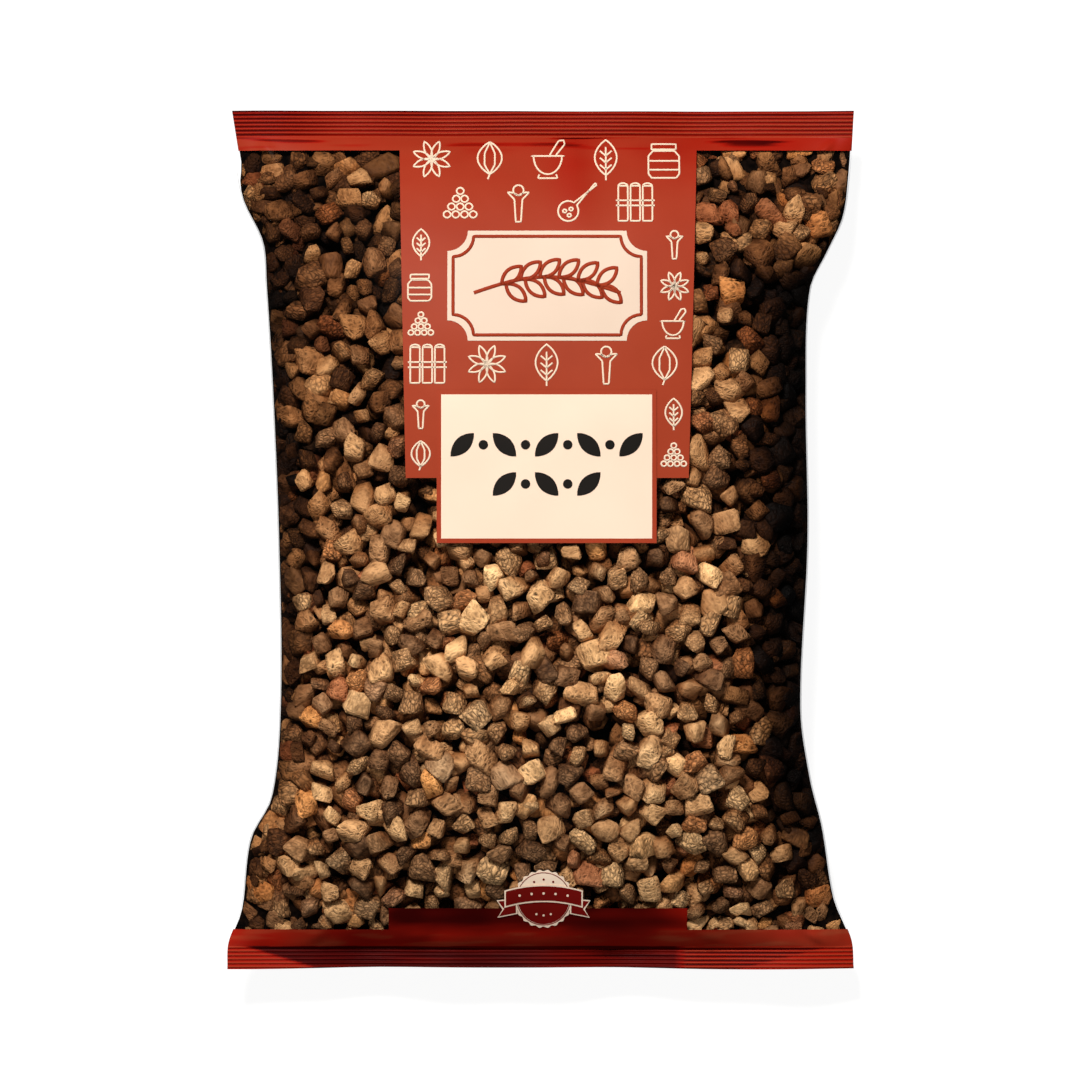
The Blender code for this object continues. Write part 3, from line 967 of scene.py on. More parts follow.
def seed_relief(tree, tint):
    """Height of the wrinkles and the soft noise that bends them."""
    shares = {axis: product(tree, tint, factor) for axis, factor in enumerate((97.0, 61.0, 43.0))}
    shift = add_node(tree, "ShaderNodeCombineXYZ", shares).outputs[0]
    place = times_plus(tree, attribute_of(tree, "seed_place", "Vector"), (1.0, 0.62, 1.0), shift)
    grain = {"Scale": 1.7, "Detail": 5.0, "Roughness": 0.75, "Vector": place}
    fine = add_node(tree, "ShaderNodeTexNoise", grain).outputs["Fac"]
    warp = add_node(tree, "ShaderNodeTexNoise", {"Scale": 0.9, "Detail": 2.0, "Vector": place}).outputs
    bent = times_plus(tree, warp["Color"], (0.9, 0.9, 0.9), place)
    cells = {"Scale": 1.0 / WRINKLE_SIZE, "Randomness": 1.0, "Vector": bent}
    net = add_node(tree, "ShaderNodeTexVoronoi", cells, feature="DISTANCE_TO_EDGE").outputs["Distance"]
    calc = functools.partial(math_node, tree)
    knobs = calc("MULTIPLY", net, 2.2, clamp=True)
    pitted = calc("GREATER_THAN", own_number(tree, tint, 17.7), SHARE_OF_KNOBS)
    knobs_or_pits = calc("SUBTRACT", calc("ADD", knobs, pitted), product(tree, knobs, pitted, 2.0))
    height = calc("ADD", product(tree, knobs_or_pits, 0.55), product(tree, fine, 0.75))
    return height, warp["Fac"]


def light_by_depth(tree, tint):
    """Shade of the coat: light by the film and dark below it, and by luck more or less so."""
    calc = functools.partial(math_node, tree)
    lit = attribute_of(tree, "shade")
    luck = calc("SUBTRACT", product(tree, own_number(tree, tint, 3.9), 2.3), 1.0)
    uneven = product(tree, calc("SUBTRACT", 1.0, lit), luck)
    return ramp_of(tree, calc("MULTIPLY", lit, calc("ADD", uneven, 1.0), clamp=True), SHADE_TONES)


def seed_material():
    """Wrinkled seed coat, coloured by each seed's own random number, with painted light and shade on its
    wrinkles and painted shade by depth and place.
    """
    material, tree, shader = new_material("seed coat", Roughness=0.62, Specular_IOR_Level=0.07)
    tint = attribute_of(tree, "tint")
    height, soft = seed_relief(tree, tint)
    rough = math_node(tree, "ADD", product(tree, own_number(tree, tint, 7.31), 1.3), 0.45, clamp=True)
    warm = blend_of(tree, product(tree, soft, 0.35), ramp_of(tree, tint, SEED_TONES), WARM_BROWN)
    light = blend_of(tree, rough, SMOOTH_TONE, ramp_of(tree, height, WRINKLE_LIGHT_AND_SHADE))
    coat = warm
    for tone in (light, ramp_of(tree, soft, BLOTCH_TONES), light_by_depth(tree, tint)):
        coat = blend_of(tree, 1.0, coat, tone, "MULTIPLY")
    tree.links.new(coat, shader.inputs["Base Color"])
    bump_of(tree, height, rough, WRINKLE_BUMP, shader)
    return material


def bed_material():
    """Near-black painted shade on the body that stands for the deeper seeds."""
    material, tree, shader = new_material("seed dust", Roughness=0.9, Specular_IOR_Level=0.02)
    mottle = object_noise(tree, 900.0, 3.0)
    # Near black as painted shade, for deep seeds that the light doesn't reach.
    tones = [(0.40, (0.001, 0.0006, 0.0005)), (0.75, (0.008, 0.004, 0.0025))]
    tree.links.new(ramp_of(tree, mottle, tones), shader.inputs["Base Color"])
    bump_of(tree, mottle, 0.8, 0.4 * MM, shader)
    return material


seed_coat = seed_material()
bed_painted_shade = bed_material()
print("seed materials:", seed_coat.name, bed_painted_shade.name)

# %% [markdown]
# Seeds lie against the film like gravel in a bag, so they are dealt out over the film's own
# surface and sunk below it. The guide is the film's formula on a coarse grid, and each of its
# points holds the room there, which shrinks to nothing at the folds and in the flat corners.

# %% Guide surface for the seeds
GUIDE_STEP = 1.5 * MM
GUIDE_AROUND = 176
SEED_REACH = 66.3 * MM
SEED_HALF = 1.75 * MM
FILM_CLEAR = 0.45 * MM
# How many seeds have to fit over each other before a layer begins.
ROOM_NEEDED = {"near": 0.0, "middle": 1.0, "deep": 2.2}


def closed_tube(name, rings):
    """Object of a tube through rings of points, closed at both ends."""
    points = [point for ring in rings for point in ring]
    return mesh_object(name, points, tube_faces(len(rings), len(rings[0])))


def ring_places(y, count):
    """(x, across, side) round the film at y."""
    left, right = section(y)[:2]
    places = []
    for column in range(count):
        across = -math.cos(TURN * column / count)
        x = (left + right) / 2.0 + across * (right - left) / 2.0
        places.append((x, across, 1 if column <= count / 2 else -1))
    return places


def make_guide(name, need):
    """Film surface with its room for seeds as a number on each point, without its ends."""
    rings = []
    for y in even_rows(-SEED_REACH, SEED_REACH, GUIDE_STEP):
        ring = ring_places(y, GUIDE_AROUND)
        rings.append([(x, y, film_height(across, y, side)) for x, across, side in ring])
    guide = closed_tube(name, rings)
    rooms = []
    for point in guide.data.vertices:
        centre = point.co - point.normal * (SEED_HALF + FILM_CLEAR)
        low, high = room_at(centre.x, centre.y)
        space = (high - low - 2.0 * FILM_CLEAR) / (2.0 * SEED_HALF)
        rooms.append(min(max(space - need, 0.0), 1.0))
    keep_values(guide, "room", "FLOAT", "POINT", rooms)
    return guide


guides = {name: make_guide(name + " guide", need) for name, need in ROOM_NEEDED.items()}
print("guide points:", len(guides["near"].data.vertices))

# %% [markdown]
# The scatter is a node tree. Poisson sampling keeps the seeds a set distance apart, as solid
# seeds must be. Each point sinks along the surface's normal by the room it has, takes a random
# kind of seed, a random turn and size, and a random number that its material reads.

# %% Scatter tree
MOST_DENSE = 4.0e5
LARGEST_TILT = 1.2


def random_node(tree, kind, inputs, seed, shift):
    """Random value of a kind for each seed, by the tree's random seed plus a shift."""
    inputs["Seed"] = math_node(tree, "ADD", seed, float(shift))
    return add_node(tree, "FunctionNodeRandomValue", inputs, data_type=kind).outputs


def sink_of(tree, given, seed, normal, room):
    """How far each seed sinks below the film: by the room it has, and less on the steep sides."""
    calc = functools.partial(math_node, tree)
    chance = random_node(tree, "FLOAT", {2: 0.0, 3: 1.0}, seed, 3)[1]
    depth = calc("ADD", given["Depth"], product(tree, chance, given["Depth Spread"]))
    facing = add_node(tree, "ShaderNodeSeparateXYZ", {0: normal}).outputs["Z"]
    press = calc("ADD", product(tree, calc("ABSOLUTE", facing), 0.40), 0.60)
    length = calc("MULTIPLY", product(tree, depth, room), product(tree, press, -1.0))
    sink = {0: normal, "Scale": length}
    return add_node(tree, "ShaderNodeVectorMath", sink, operation="SCALE").outputs["Vector"]


def turn_of(tree, seed, rotation, room):
    """Random turn of each seed, which lies flatter where it has less room."""
    most = {0: (-LARGEST_TILT, -LARGEST_TILT, 0.0), 1: (LARGEST_TILT, LARGEST_TILT, TURN)}
    spin = random_node(tree, "FLOAT_VECTOR", most, seed, 5)[0]
    flatter = add_node(tree, "ShaderNodeCombineXYZ", {"X": room, "Y": room, "Z": 1.0}).outputs[0]
    tilt = add_node(tree, "ShaderNodeVectorMath", {0: spin, 1: flatter}, operation="MULTIPLY").outputs[0]
    own = add_node(tree, "FunctionNodeEulerToRotation", {0: tilt}).outputs[0]
    inputs = {"Rotation": rotation, "Rotate By": own}
    return add_node(tree, "FunctionNodeRotateRotation", inputs, rotation_space="LOCAL").outputs[0]


def size_of(tree, given, seed, room):
    """Random size of each seed, which is flatter and a little smaller where it has less room."""
    size = random_node(tree, "FLOAT", {2: given["Least Size"], 3: given["Most Size"]}, seed, 7)[1]
    wide = product(tree, size, math_node(tree, "ADD", product(tree, room, 0.3), 0.7))
    sides = {"X": wide, "Y": wide, "Z": product(tree, size, room)}
    return add_node(tree, "ShaderNodeCombineXYZ", sides).outputs[0]


def scatter_tree():
    """Tree that deals seeds out over a guide surface."""
    tree, given, result = new_tree("seed scatter", [
        ("Seed Kinds", "Collection", None),
        ("Spacing", "Float", 3.0 * MM),
        ("Depth", "Float", 2.0 * MM),
        ("Depth Spread", "Float", 0.6 * MM),
        ("Least Size", "Float", 0.66),
        ("Most Size", "Float", 1.26),
        ("Random Seed", "Int", 1),
        ("Seed Coat", "Material", None),
    ])
    seed = given["Random Seed"]
    room = named(tree, "room", "FLOAT")
    deal = add_node(tree, "GeometryNodeDistributePointsOnFaces", {
        "Mesh": given["Geometry"], "Distance Min": given["Spacing"], "Density Max": MOST_DENSE,
        "Density Factor": math_node(tree, "MULTIPLY", room, 8.0, clamp=True), "Seed": seed,
    }, distribute_method="POISSON").outputs
    sink = sink_of(tree, given, seed, deal["Normal"], room)
    move = add_node(tree, "GeometryNodeSetPosition", {"Geometry": deal["Points"], "Offset": sink})
    kinds = add_node(tree, "GeometryNodeCollectionInfo", {
        "Collection": given["Seed Kinds"], "Separate Children": True, "Reset Children": True})
    place = add_node(tree, "GeometryNodeInstanceOnPoints", {
        "Points": move.outputs["Geometry"],
        "Instance": kinds.outputs[0],
        "Pick Instance": True,
        "Instance Index": random_node(tree, "INT", {4: 0, 5: SEED_KINDS - 1}, seed, 9)[2],
        "Rotation": turn_of(tree, seed, deal["Rotation"], room),
        "Scale": size_of(tree, given, seed, room),
    })
    tint = add_node(tree, "GeometryNodeStoreNamedAttribute", {
        "Geometry": place.outputs[0], "Name": "tint",
        "Value": random_node(tree, "FLOAT", {2: 0.0, 3: 1.0}, seed, 11)[1],
    }, data_type="FLOAT", domain="INSTANCE")
    seeds = realized(tree, tint.outputs[0])
    tree.links.new(set_material(tree, seeds, given["Seed Coat"]), result)
    return tree


seed_scatter = scatter_tree()
print("tree:", seed_scatter.name)

# %% [markdown]
# Light falls off fast between seeds, so every point of a seed keeps its share of it: less the
# deeper it lies, and less by the rims, most of all by the right fold, which is nearly black in
# the photograph. A seed that would poke through the film is flattened to just inside it.

# %% Light by place and the press of the film
SHADE_REACH = 2.6 * MM
PLACE_STEP = 0.1 * MM


def rim_shade(x, y, z):
    """How light the seeds are at a place: nearly black by the right fold, dim by the left one and
    the head, and fuller light again under the folds, where the front's shade doesn't reach."""
    left, right, level = section(y)[:3]
    head = rise(44.0, 53.0, y)
    foot = 1.0 - rise(-64.0, -44.0, y)
    from_right = rise(3.5, 16.5, right - x)
    from_right += (1.0 - from_right) * max(0.85 * head, 0.45 * foot)
    from_left = rise(-2.0, 13.0, x - left)
    from_left += (1.0 - from_left) * 0.6 * head
    from_head = 1.0 - (0.60 - 0.10 * x / (40.0 * MM)) * rise(-22.0, 46.0, y)
    shade = (0.03 + 0.97 * from_right) * (0.18 + 0.82 * from_left) * from_head
    under = 1.0 - rise(-3.0, 1.5, z - level)
    return shade + (1.0 - shade) * 0.7 * under


def left_limit(y):
    """Left end of the filling: the fold, or the edge of the print where that stands clear of it."""
    return section(y)[0] + (BARE_EDGE - 0.1 * MM) * rise(59.0, 63.5, y)


def press_inside(item, clear):
    """Flatten any point of a mesh that is past the film to just inside it, as film does, and
    store how light each point is, which falls off with its depth below the film."""
    moved = 0
    shades = []
    for point in item.data.vertices:
        x, y, z = point.co
        y = min(max(y, -SEED_REACH), SEED_REACH)
        step = round(y / PLACE_STEP) * PLACE_STEP
        left, right = left_limit(step), section(step)[1]
        x = min(max(x, left + clear), right - clear)
        low, high = room_at(x, step)
        middle = (low + high) / 2.0
        z = min(max(z, min(low + clear, middle)), max(high - clear, middle))
        depth = min(x - left, right - x, z - low, high - z) - clear
        shades.append(math.exp(-max(depth, 0.0) / SHADE_REACH) * rim_shade(x, step, z))
        if (x, y, z) != tuple(point.co):
            moved += 1
            point.co = (x, y, z)
    keep_values(item, "shade", "FLOAT", "POINT", shades)
    return moved


print("light by the left and right folds:", [round(rim_shade(x, 0.0, 12.0 * MM), 2) for x in folds(0.0)])

# %% Three layers of seeds
# Each layer has its guide, spacing, depth and spread of depth in millimetres, and random seed.
LAYERS = [
    ("near", 3.30, 1.75, 0.9, 3),
    ("middle", 3.35, 3.9, 0.9, 41),
    ("deep", 3.6, 6.0, 1.0, 77),
]
for name, spacing, depth, spread, random_seed in LAYERS:
    layer = guides[name]
    layer.name = "seeds_" + name
    layer = run_tree(layer, seed_scatter, {
        "Seed Kinds": seed_kinds, "Seed Coat": seed_coat, "Spacing": spacing * MM,
        "Depth": depth * MM, "Depth Spread": spread * MM, "Random Seed": random_seed})
    print("points pressed in:", press_inside(layer, FILM_CLEAR))
    finish_piece(layer, "cardamom_seeds")

# %% [markdown]
# Light doesn't reach far between the seeds. A lumpy body stands for the deeper seeds: it fills the middle
# of the pouch and runs out thin to the folds, and its near-black colour is painted shade, so that the gaps
# look as deep and dark as they are in a full bag.

# %% Dark bed between the seeds
BED_DEPTH = 7.0 * MM
BED_SHARE = 0.40
BED_FOLD_GAP = 0.25 * MM
BED_REACH = 66.6 * MM
BED_STEP = 1.6 * MM
BED_AROUND = 120
LUMP_SIZE = 2.4 * MM
LUMP_SHARE = 0.12


def make_bed():
    """Body inside the seeds, as far below the film as the room allows."""
    rings = []
    for y in even_rows(-BED_REACH, BED_REACH, BED_STEP):
        ring = []
        left, right = left_limit(y), section(y)[1]
        for x, across, side in ring_places(y, BED_AROUND):
            x = min(max(x, left + BED_FOLD_GAP), right - BED_FOLD_GAP)
            low, high = room_at(x, y)
            depth = min(BED_DEPTH, BED_SHARE * (high - low))
            depth *= 1.0 + LUMP_SHARE * noise.noise(Vector((x, y, 0.0)) / LUMP_SIZE)
            ring.append((x, y, high - depth if side > 0 else low + depth))
        rings.append(ring)
    bed = closed_tube("seed_bed", rings)
    bed.data.materials.append(bed_painted_shade)
    bed.data.shade_smooth()
    return bed


finish_piece(make_bed(), "cardamom_seeds")

# %% [markdown]
# The label is a sheet of cream paper with a red edge, stuck over the foot of the red panel. Like
# everything printed here it has to follow the film's every wave. So flat things are first made
# flat, on the table, and then a node tree lays them on: it drops a ray from each point on to the
# film and lifts the point to where the ray hits, plus a small gap.

# %% Laying flat things on the film
LAY_FROM = 60.0 * MM


def lay_tree():
    """Tree that lays a flat piece on the film and gives it its ink, and its edge another."""
    tree, given, result = new_tree("lay on film", [
        ("Film", "Object", None),
        ("Lift", "Float", 0.05 * MM),
        ("From", "Float", LAY_FROM),
        ("Ink", "Material", None),
        ("Edge Ink", "Material", None),
    ])
    seen = {"Object": given["Film"]}
    target = add_node(tree, "GeometryNodeObjectInfo", seen, transform_space="RELATIVE").outputs["Geometry"]
    place = add_node(tree, "GeometryNodeInputPosition").outputs[0]
    split = add_node(tree, "ShaderNodeSeparateXYZ", {0: place}).outputs
    above = {"X": split["X"], "Y": split["Y"], "Z": given["From"]}
    start = add_node(tree, "ShaderNodeCombineXYZ", above).outputs[0]
    down = {"Target Geometry": target, "Source Position": start, "Ray Direction": (0.0, 0.0, -1.0)}
    hit = add_node(tree, "GeometryNodeRaycast", down).outputs["Hit Position"]
    height = add_node(tree, "ShaderNodeSeparateXYZ", {0: hit}).outputs["Z"]
    height = math_node(tree, "ADD", math_node(tree, "ADD", height, split["Z"]), given["Lift"])
    laid = add_node(tree, "ShaderNodeCombineXYZ", {**above, "Z": height}).outputs[0]
    move = add_node(tree, "GeometryNodeSetPosition", {"Geometry": given["Geometry"], "Position": laid})
    inked = set_material(tree, realized(tree, move.outputs[0]), given["Ink"])
    tree.links.new(set_material(tree, inked, given["Edge Ink"], "edge"), result)
    return tree


def lay(item, ink, lift):
    """Flat piece laid on the film in one ink."""
    return run_tree(item, lay_on_film, {"Film": film, "Lift": lift, "Ink": ink})


def grid_plate(name, rows, thickness):
    """Flat closed plate over a grid of (x, y) points, given as rows of equal length."""
    count = len(rows[0])
    size = len(rows) * count
    points = [(x, y, z) for z in (0.0, thickness) for row in rows for x, y in row]
    faces = []
    for row in range(len(rows) - 1):
        for a in range(row * count, (row + 1) * count - 1):
            square = (a, a + 1, a + count + 1, a + count)
            faces += [tuple(size + corner for corner in square), square[::-1]]
    rim = list(range(count))
    rim += [row * count + count - 1 for row in range(1, len(rows))]
    rim += [size - 1 - column for column in range(1, count)]
    rim += [row * count for row in range(len(rows) - 2, 0, -1)]
    for first, second in zip(rim, rim[1:] + rim[:1]):
        faces.append((first, second, size + second, size + first))
    return mesh_object(name, points, faces)


lay_on_film = lay_tree()
print("tree:", lay_on_film.name)

# %% Label
LABEL_CENTRE = (1.0 * MM, 12.2 * MM)
LABEL_SIZE = (36.5 * MM, 25.4 * MM)
LABEL_EDGE = 0.75 * MM
LABEL_THICKNESS = 0.16 * MM
LABEL_LIFT = 0.10 * MM
LABEL_STEP = 0.7 * MM


def label_lines(middle, size):
    """Grid lines across the label, with one on each inner side of its red edge."""
    low, high = middle - size / 2.0, middle + size / 2.0
    return [low] + even_rows(low + LABEL_EDGE, high - LABEL_EDGE, LABEL_STEP) + [high]


def make_label():
    """Cream label with a red edge, laid on the film."""
    columns, lines = [label_lines(*axis) for axis in zip(LABEL_CENTRE, LABEL_SIZE)]
    label = grid_plate("label", [[(x, y) for x in columns] for y in lines], LABEL_THICKNESS)
    edge = []
    for face in label.data.polygons:
        sides = zip(face.center, LABEL_CENTRE, LABEL_SIZE)
        edge.append(any(abs(at - middle) > size / 2.0 - LABEL_EDGE for at, middle, size in sides))
    keep_values(label, "edge", "BOOLEAN", "FACE", edge)
    return run_tree(label, lay_on_film, {
        "Film": film, "Lift": LABEL_LIFT, "Ink": label_paper, "Edge Ink": label_red})


label_paper = printed_material("label paper", (0.740, 0.570, 0.450), (0.720, 0.555, 0.436), 0.55)
label_red = printed_material("label red", (0.285, 0.038, 0.0155), (0.265, 0.034, 0.014))
finish_piece(make_label(), "product_label")

# %% [markdown]
# The label's own print is two rows of plain dark pods and seeds. The panel carries small cream
# line drawings of kitchen spices. A drawing is a list of strokes in a square from -1 to 1, each
# of points and whether it closes. Short functions for arcs, ovals and petals keep them easy to
# read, and the pen line is made later.

# %% Strokes
def arc(x, y, across, up, start, end, count):
    """Points on an ellipse's arc, in turns of 360 degrees."""
    turns = [start + (end - start) * index / count for index in range(count + 1)]
    return [(x + across * math.cos(TURN * turn), y + up * math.sin(TURN * turn)) for turn in turns]


def oval(x, y, across, up, count):
    """Points once round an ellipse."""
    return arc(x, y, across, up, 0.0, 1.0, count)[:-1]


def turned(x0, y0, turn, points):
    """Points turned by an angle in turns and moved to x0, y0."""
    cosine, sine = math.cos(TURN * turn), math.sin(TURN * turn)
    return [(x0 + cosine * x - sine * y, y0 + sine * x + cosine * y) for x, y in points]


def petal(x, y, turn, length, width, count=10):
    """Pointed closed leaf from x, y outwards at an angle in turns."""
    leaf = []
    for side in (1.0, -1.0):
        for index in range(count):
            t = index / count if side > 0.0 else 1.0 - index / count
            leaf.append((length * t, side * width * math.sin(math.pi * t) ** 0.8))
    return turned(x, y, turn, leaf)


def with_mirror(*half):
    """Points and the same ones mirrored from left to right, in one run."""
    return [*half] + [(-x, y) for x, y in reversed(half) if x]


def closed(*outlines):
    """Closed strokes."""
    return [(points, True) for points in outlines]


def opened(*lines):
    """Open strokes."""
    return [(points, False) for points in lines]


def moved(strokes, x0, y0, scale):
    """Strokes scaled and moved to x0, y0."""
    return [([(x0 + scale * x, y0 + scale * y) for x, y in points], ends) for points, ends in strokes]


print("petal has", len(petal(0.0, 0.0, 0.0, 1.0, 0.5)), "points")

# %% Line drawings of spices
def draw_pod():
    """Cardamom pod with its ribs and stalk."""
    ribs = [[(0.0, 0.86), (side * 0.26, 0.30), (side * 0.26, -0.30), (0.0, -0.78)] for side in (-1, 1)]
    return closed(petal(0.0, -0.8, 0.25, 1.7, 0.62)) + opened(*ribs, [(0.0, -0.8), (-0.10, -1.05)])


def draw_star():
    """Eight pointed star of anise."""
    petals = [petal(0.0, 0.0, index / 8.0 + 0.0625, 1.0, 0.17) for index in range(8)]
    return closed(*petals, oval(0.0, 0.0, 0.16, 0.16, 10))


def draw_mortar():
    """Mortar with a leaning pestle."""
    bowl = [(-0.85, 0.15)] + arc(0.0, 0.15, 0.72, 0.95, 0.5, 1.0, 12) + [(0.85, 0.15)]
    pestle = [(0.10, 0.20), (0.55, 0.95), (0.80, 0.98), (0.86, 0.76), (0.42, 0.20)]
    return closed(bowl) + opened(with_mirror((-0.42, -0.80), (-0.50, -1.0)), pestle)


def draw_spoon():
    """Round spoon with three seeds in it."""
    bowl = arc(-0.45, -0.45, 0.52, 0.52, 0.155, 1.095, 16)
    seeds = [oval(x, y, 0.11, 0.09, 7) for x, y in ((-0.63, -0.45), (-0.31, -0.35), (-0.40, -0.67))]
    return closed(bowl + [(0.92, 1.0), (1.0, 0.90)], *seeds)


def draw_sticks():
    """Three cinnamon sticks with a tie."""
    strokes = []
    for x in (-0.62, 0.0, 0.62):
        strokes += moved(closed(with_mirror((-0.24, -0.95), (-0.24, 0.85))), x, 0.0, 1.0)
        strokes += opened(arc(x, 0.85, 0.24, 0.14, 0.5, 0.0, 6))
    return strokes + opened(*[with_mirror((-0.98, y)) for y in (0.10, -0.16)])


def draw_jar():
    """Lidded jar."""
    body = with_mirror((-0.55, 0.42), (-0.78, 0.15), (-0.78, -0.78), (-0.62, -0.98))
    bands = [with_mirror((-0.78, y)) for y in (-0.10, -0.56)]
    return closed(body, with_mirror((-0.62, 0.50), (-0.62, 0.78))) + opened(*bands)


def draw_bay():
    """Single broad leaf with side veins."""
    veins = []
    for side in (-1, 1):
        for y in (-0.55, -0.19, 0.17):
            veins.append([(0.0, y), (side * 0.30, y + 0.25)])
    return closed(petal(0.0, -0.85, 0.25, 1.85, 0.56)) + opened([(0.0, -1.1), (0.0, 0.62)], *veins)


def draw_grains():
    """Heap of ten round grains."""
    rows = [(-0.66, -0.22, 0.22, 0.66), (-0.44, 0.0, 0.44), (-0.2, 0.22), (0.0,)]
    places = [(x, y) for row, y in zip(rows, (-0.62, -0.22, 0.18, 0.58)) for x in row]
    return closed(*[oval(x, y, 0.19, 0.18, 9) for x, y in places])


def draw_clove():
    """Clove: a long stalk, four short arms and a round bud."""
    stalk = with_mirror((-0.13, -1.0), (-0.20, 0.15), (-0.56, 0.52), (-0.30, 0.50), (0.0, 0.36))
    return closed(stalk, oval(0.0, 0.62, 0.27, 0.27, 12))


print("pod has", len(draw_pod()), "strokes")

# %% Where the drawings go, in millimetres
MOTIF_HALF = 3.3
SIDE_MOTIF_HALF = 2.5
MOTIF_ROWS = [
    (63.7, (-18.2, -8.5, 1.2, 10.9, 20.6), (draw_star, draw_pod, draw_mortar, draw_bay, draw_jar)),
    (56.3, (-13.4, -3.7, 6.1, 15.8), (draw_grains, draw_clove, draw_spoon, draw_sticks)),
    (29.2, (-18.8, -8.9, 1.0, 10.9, 20.6), (draw_sticks, draw_star, draw_bay, draw_clove, draw_pod)),
]
SIDE_MOTIFS = [
    (-19.9, 49.3, draw_bay), (-20.1, 42.2, draw_jar), (-19.9, 36.0, draw_grains),
    (22.3, 49.3, draw_clove), (22.3, 42.2, draw_star), (22.0, 36.0, draw_mortar),
    (-19.9, 21.0, draw_clove), (-19.9, 14.2, draw_pod),
    (22.1, 21.0, draw_bay), (22.1, 14.2, draw_grains),
]


def placed_strokes():
    """Every stroke of the panel's drawings at its place."""
    spots = [(x, y, MOTIF_HALF, draw) for y, row, draws in MOTIF_ROWS for x, draw in zip(row, draws)]
    spots += [(x, y, SIDE_MOTIF_HALF, draw) for x, y, draw in SIDE_MOTIFS]
    strokes = []
    for x, y, half, draw in spots:
        strokes += moved(draw(), x * MM, y * MM, half * MM)
    return strokes


print("strokes:", len(placed_strokes()))

# %% [markdown]
# A pen line is a curve given a flat section. The tree resamples each stroke, turns the curve's
# normal to the sky so that the section lies flat, and sweeps a thin closed rectangle along it.
# Then the same laying tree as the label's puts the lines on the film.

# %% Pen lines
LINE_WIDTH = 0.29 * MM
LINE_THICKNESS = 0.03 * MM
LINE_STEP = 0.30 * MM
PRINT_LIFT = 0.045 * MM


def line_tree():
    """Tree that sweeps a flat closed section along curves."""
    tree, given, result = new_tree("pen line", [
        ("Width", "Float", LINE_WIDTH),
        ("Thickness", "Float", LINE_THICKNESS),
        ("Step", "Float", LINE_STEP),
        ("Ink", "Material", None),
    ])
    drawn = {"Curve": given["Geometry"], "Length": given["Step"]}
    even = add_node(tree, "GeometryNodeResampleCurve", drawn, mode="LENGTH").outputs[0]
    upright = add_node(tree, "GeometryNodeSetCurveNormal", {"Curve": even}, mode="Z_UP").outputs[0]
    sides = {"Width": given["Width"], "Height": given["Thickness"]}
    flat = add_node(tree, "GeometryNodeCurvePrimitiveQuadrilateral", sides).outputs[0]
    swept = {"Curve": upright, "Profile Curve": flat, "Fill Caps": True}
    line = add_node(tree, "GeometryNodeCurveToMesh", swept).outputs[0]
    tree.links.new(set_material(tree, realized(tree, line), given["Ink"]), result)
    return tree


def pen_lines(name, strokes, ink, width, lift):
    """Piece of pen lines along strokes, laid on the film."""
    curve = bpy.data.curves.new(name, "CURVE")
    curve.dimensions = "3D"
    for points, ends in strokes:
        spline = curve.splines.new("POLY")
        spline.points.add(len(points) - 1)
        for point, (x, y) in zip(spline.points, points):
            point.co = (x, y, 0.0, 1.0)
        spline.use_cyclic_u = ends
    item = bpy.data.objects.new(name, curve)
    pieces.objects.link(item)
    item = run_tree(item, pen_line, {"Width": width, "Ink": ink})
    face_outwards(item.data)
    return lay(item, ink, lift)


pen_line = line_tree()
drawings = pen_lines("spice_drawings", placed_strokes(), cream_print, LINE_WIDTH, PRINT_LIFT)
finish_piece(drawings, "pouch_film")

# %% [markdown]
# Solid print is a thin plate. A plate with a round or notched outline is a fan: rings of points
# that grow from its middle to its outline, close enough together to bend with the film. Several
# plates and lines are joined into one piece, in which each keeps its ink.

# %% Plates
PLATE_STEP = 0.55 * MM
PLATE_THICKNESS = 0.03 * MM


def fan_plate(name, centre, outline, ink, lift):
    """Closed plate from a middle point out to an outline, laid on the film."""
    x0, y0 = centre
    reach = max(math.hypot(x - x0, y - y0) for x, y in outline)
    rings = max(2, round(reach / PLATE_STEP))
    count = len(outline)
    points = []
    for height in (0.0, PLATE_THICKNESS):
        points.append((x0, y0, height))
        for share in even_rows(0.0, 1.0, 1.0 / rings)[1:]:
            points += [(x0 + (x - x0) * share, y0 + (y - y0) * share, height) for x, y in outline]
    size = 1 + rings * count
    faces = []
    for index in range(count):
        a, b = 1 + index, 1 + (index + 1) % count
        faces += [(size, size + a, size + b), (0, b, a)]
        for ring in range(rings - 1):
            square = (a, a + count, b + count, b)
            faces += [tuple(size + corner for corner in square), square[::-1]]
            a, b = a + count, b + count
        faces.append((a, b, size + b, size + a))
    return lay(mesh_object(name, points, faces), ink, lift)


def spaced(points):
    """Points along a closed outline with no gap over a plate's step, its corners kept."""
    outline = []
    for (x0, y0), (x1, y1) in zip(points, points[1:] + points[:1]):
        count = max(1, math.ceil(math.hypot(x1 - x0, y1 - y0) / PLATE_STEP))
        shares = [index / count for index in range(count)]
        outline += [(x0 + (x1 - x0) * share, y0 + (y1 - y0) * share) for share in shares]
    return outline


def join(name, items, node):
    """One finished piece of several, each in its own ink."""
    shape = bmesh.new()
    inks = []
    for item in items:
        ink = item.data.materials[0]
        if ink not in inks:
            inks.append(ink)
        before = len(shape.faces)
        shape.from_mesh(item.data)
        shape.faces.ensure_lookup_table()
        for face in shape.faces[before:]:
            face.material_index = inks.index(ink)
        bpy.data.objects.remove(item)
    mesh = bpy.data.meshes.new(name)
    shape.to_mesh(mesh)
    shape.free()
    for ink in inks:
        mesh.materials.append(ink)
    piece = bpy.data.objects.new(name, mesh)
    pieces.objects.link(piece)
    finish_piece(piece, node)


print("plates of", round(PLATE_THICKNESS / MM, 2), "mm")

